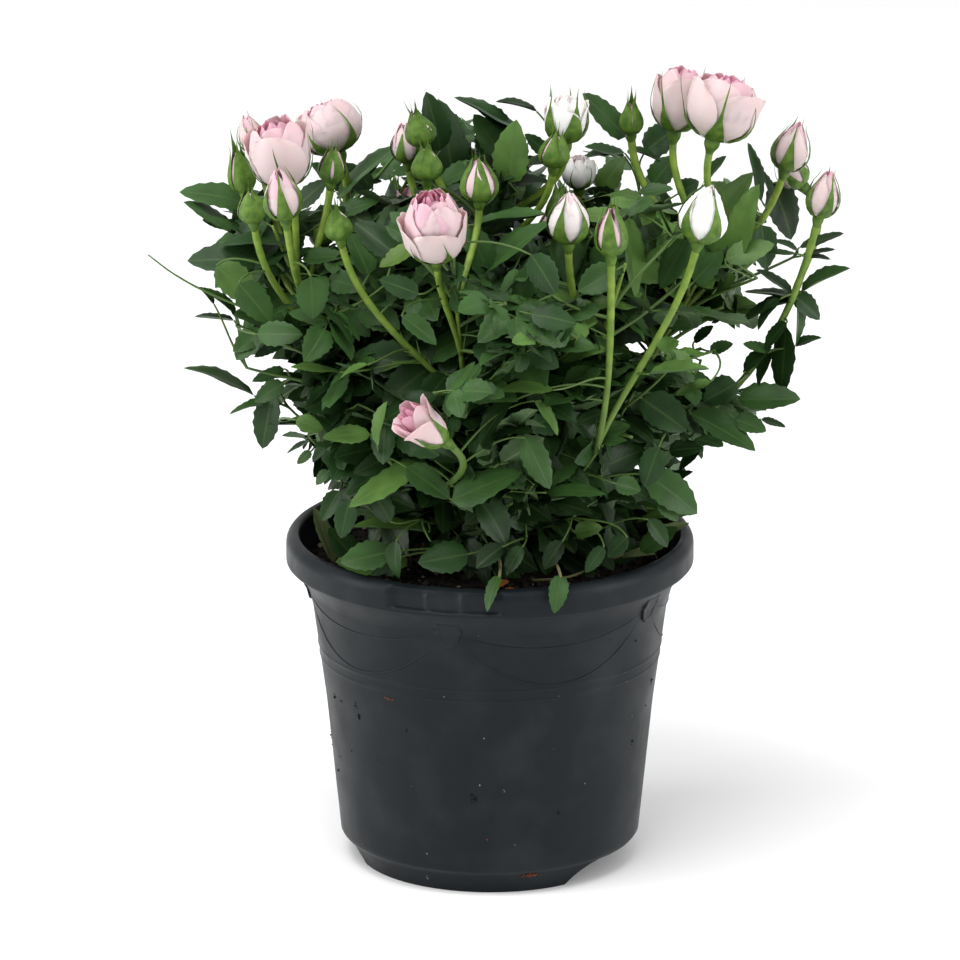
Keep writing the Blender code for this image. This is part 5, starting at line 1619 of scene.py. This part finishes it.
def build_crumbs():
    """Loose crumbs on the soil, and bits of it that stick to the pot's wall."""
    rng = np.random.default_rng(SEED + 4)
    reach = CRUMB_REACH * np.sqrt(rng.uniform(0, 1, CRUMBS))
    angle = rng.uniform(0, 2 * np.pi, CRUMBS)
    size = rng.uniform(0.7, 2.6, CRUMBS) ** 1.2 * MM
    places = polar(reach, angle, 0.2 * size)
    places[:, 2] += soil_height(places[:, 0], places[:, 1])
    batch = Batch().add(*lumps(places, size, rng), rng.choice([0, 1, 2], CRUMBS, p=[0.6, 0.3, 0.1]))
    batch.build("soil_crumbs", ["wet_compost", "brown_crumb", "pale_crumb"], ["soil"], "potting_soil")

    columns = np.array(WALL_SPOTS).T
    azimuth, middle, wide, tall, _, largest, slots = np.repeat(columns, columns[4].astype(int), axis=1)
    n = len(azimuth)
    scatter = rng.normal(0, 0.6, (2, n))
    heights = np.append((middle + tall * scatter[1]) * MM, rng.uniform(16, 170, LOOSE_SPECKS) * MM)
    heights = np.clip(heights, 2 * MM, SPECK_TOP)
    radius = np.where(heights > 15 * MM, wall_radius(heights), FOOT_RADIUS + 0.44 * heights)
    angles = np.radians(azimuth - 90) + wide * scatter[0] * MM / radius[:n]
    angles = np.append(angles, rng.uniform(-np.pi, np.pi, LOOSE_SPECKS))
    slots = np.append(slots, rng.choice([0, 2], LOOSE_SPECKS, p=[0.6, 0.4])).astype(int)
    size = np.append(largest, np.full(LOOSE_SPECKS, LOOSE_SPECK_SIZE)) * MM
    size = size * rng.uniform(0.35, 1, len(slots))
    batch = Batch().add(*lumps(polar(radius + 0.25 * size, angles, heights), size, rng), slots)
    batch.build("pot_specks", ["black_crumb", "red_crumb", "pale_crumb"], ["pot"], "potting_soil")


# ---------------------------------------------------------------- stage, light and view

FLOOR_HALF = 12
SKY_STRENGTH = 0.85
LIGHT_TARGET = Vector((0, 0, 0.25))
LIGHTS = {  # place, size and power
    "top_light": ((-0.5, -0.9, 2.4), (1.8, 1.8), 56),
    "left_light": ((-2.2, -0.5, 0.9), (0.9, 1.8), 32),
    "right_light": ((2.2, -0.7, 0.8), (0.8, 1.6), 29),
}


def put(name, data, place=(0, 0, 0), way=None):
    """An object in the scene. way is where its -Z looks."""
    made = bpy.data.objects.new(name, data)
    made.location = place
    if way:
        made.rotation_euler = way.to_track_quat("-Z", "Y").to_euler()
    bpy.context.scene.collection.objects.link(made)
    return made


def build_stage():
    """The floor, an even sky and three soft lights."""
    mesh = bpy.data.meshes.new("floor")
    corners = [(x * FLOOR_HALF, y * FLOOR_HALF, 0) for x, y in ((-1, -1), (1, -1), (1, 1), (-1, 1))]
    mesh.from_pydata(corners, [], [(0, 1, 2, 3)])
    mesh.materials.append(KIT["pale_floor"])
    put("floor", mesh)
    world = bpy.data.worlds.new("studio")
    world.use_nodes = True
    tree = world.node_tree
    fill(tree, tree.nodes["Background"], {"Color": (1.0, 1.0, 1.0), "Strength": SKY_STRENGTH})
    bpy.context.scene.world = world
    for name, (place, size, power) in LIGHTS.items():
        light = bpy.data.lights.new(name, "AREA")
        light.shape = "RECTANGLE"
        light.size, light.size_y = size
        light.energy = power
        put(name, light, place, LIGHT_TARGET - Vector(place))


def build_view():
    """The camera in front, a little above, through a long lens."""
    back = Vector((0, -COSINE, SINE))
    camera = bpy.data.cameras.new("camera")
    camera.lens, camera.sensor_width = VIEW_LENS, VIEW_SENSOR
    camera.clip_end = VIEW_END
    bpy.context.scene.camera = put("camera", camera, VIEW_TARGET + back * VIEW_DISTANCE, -back)
    bpy.context.scene.view_settings.view_transform = "Standard"


# ---------------------------------------------------------------- the whole plant


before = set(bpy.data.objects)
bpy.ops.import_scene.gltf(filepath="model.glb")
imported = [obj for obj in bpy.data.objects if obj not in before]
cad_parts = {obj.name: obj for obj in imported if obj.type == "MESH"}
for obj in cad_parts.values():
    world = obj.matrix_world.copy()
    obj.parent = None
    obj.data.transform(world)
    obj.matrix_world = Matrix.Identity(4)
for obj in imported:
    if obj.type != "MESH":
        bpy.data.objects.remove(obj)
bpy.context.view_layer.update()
make_finishes()
build_view()
build_stage()
all_masses = plan_masses()
all_heads = plan_heads(all_masses)
for one in all_masses:
    frame_mass(one)
own_leaves = Placed(all_heads)
own_leaves.tie(all_masses)
room = Space(all_heads, own_leaves)
all_leaves = []
for seed, one in enumerate(all_masses):
    grow_twigs(one, room)
    grow_leaves(one, random.Random(SEED * 1000 + seed), room, all_leaves)
build_leaves(all_leaves, own_leaves)
build_low_leaves()
build_shoots(all_masses)
build_canes(all_masses)
build_crown()
build_petals(all_heads)
build_calyxes(all_heads)
build_pot()
build_relief()
build_soil()
build_crumbs()
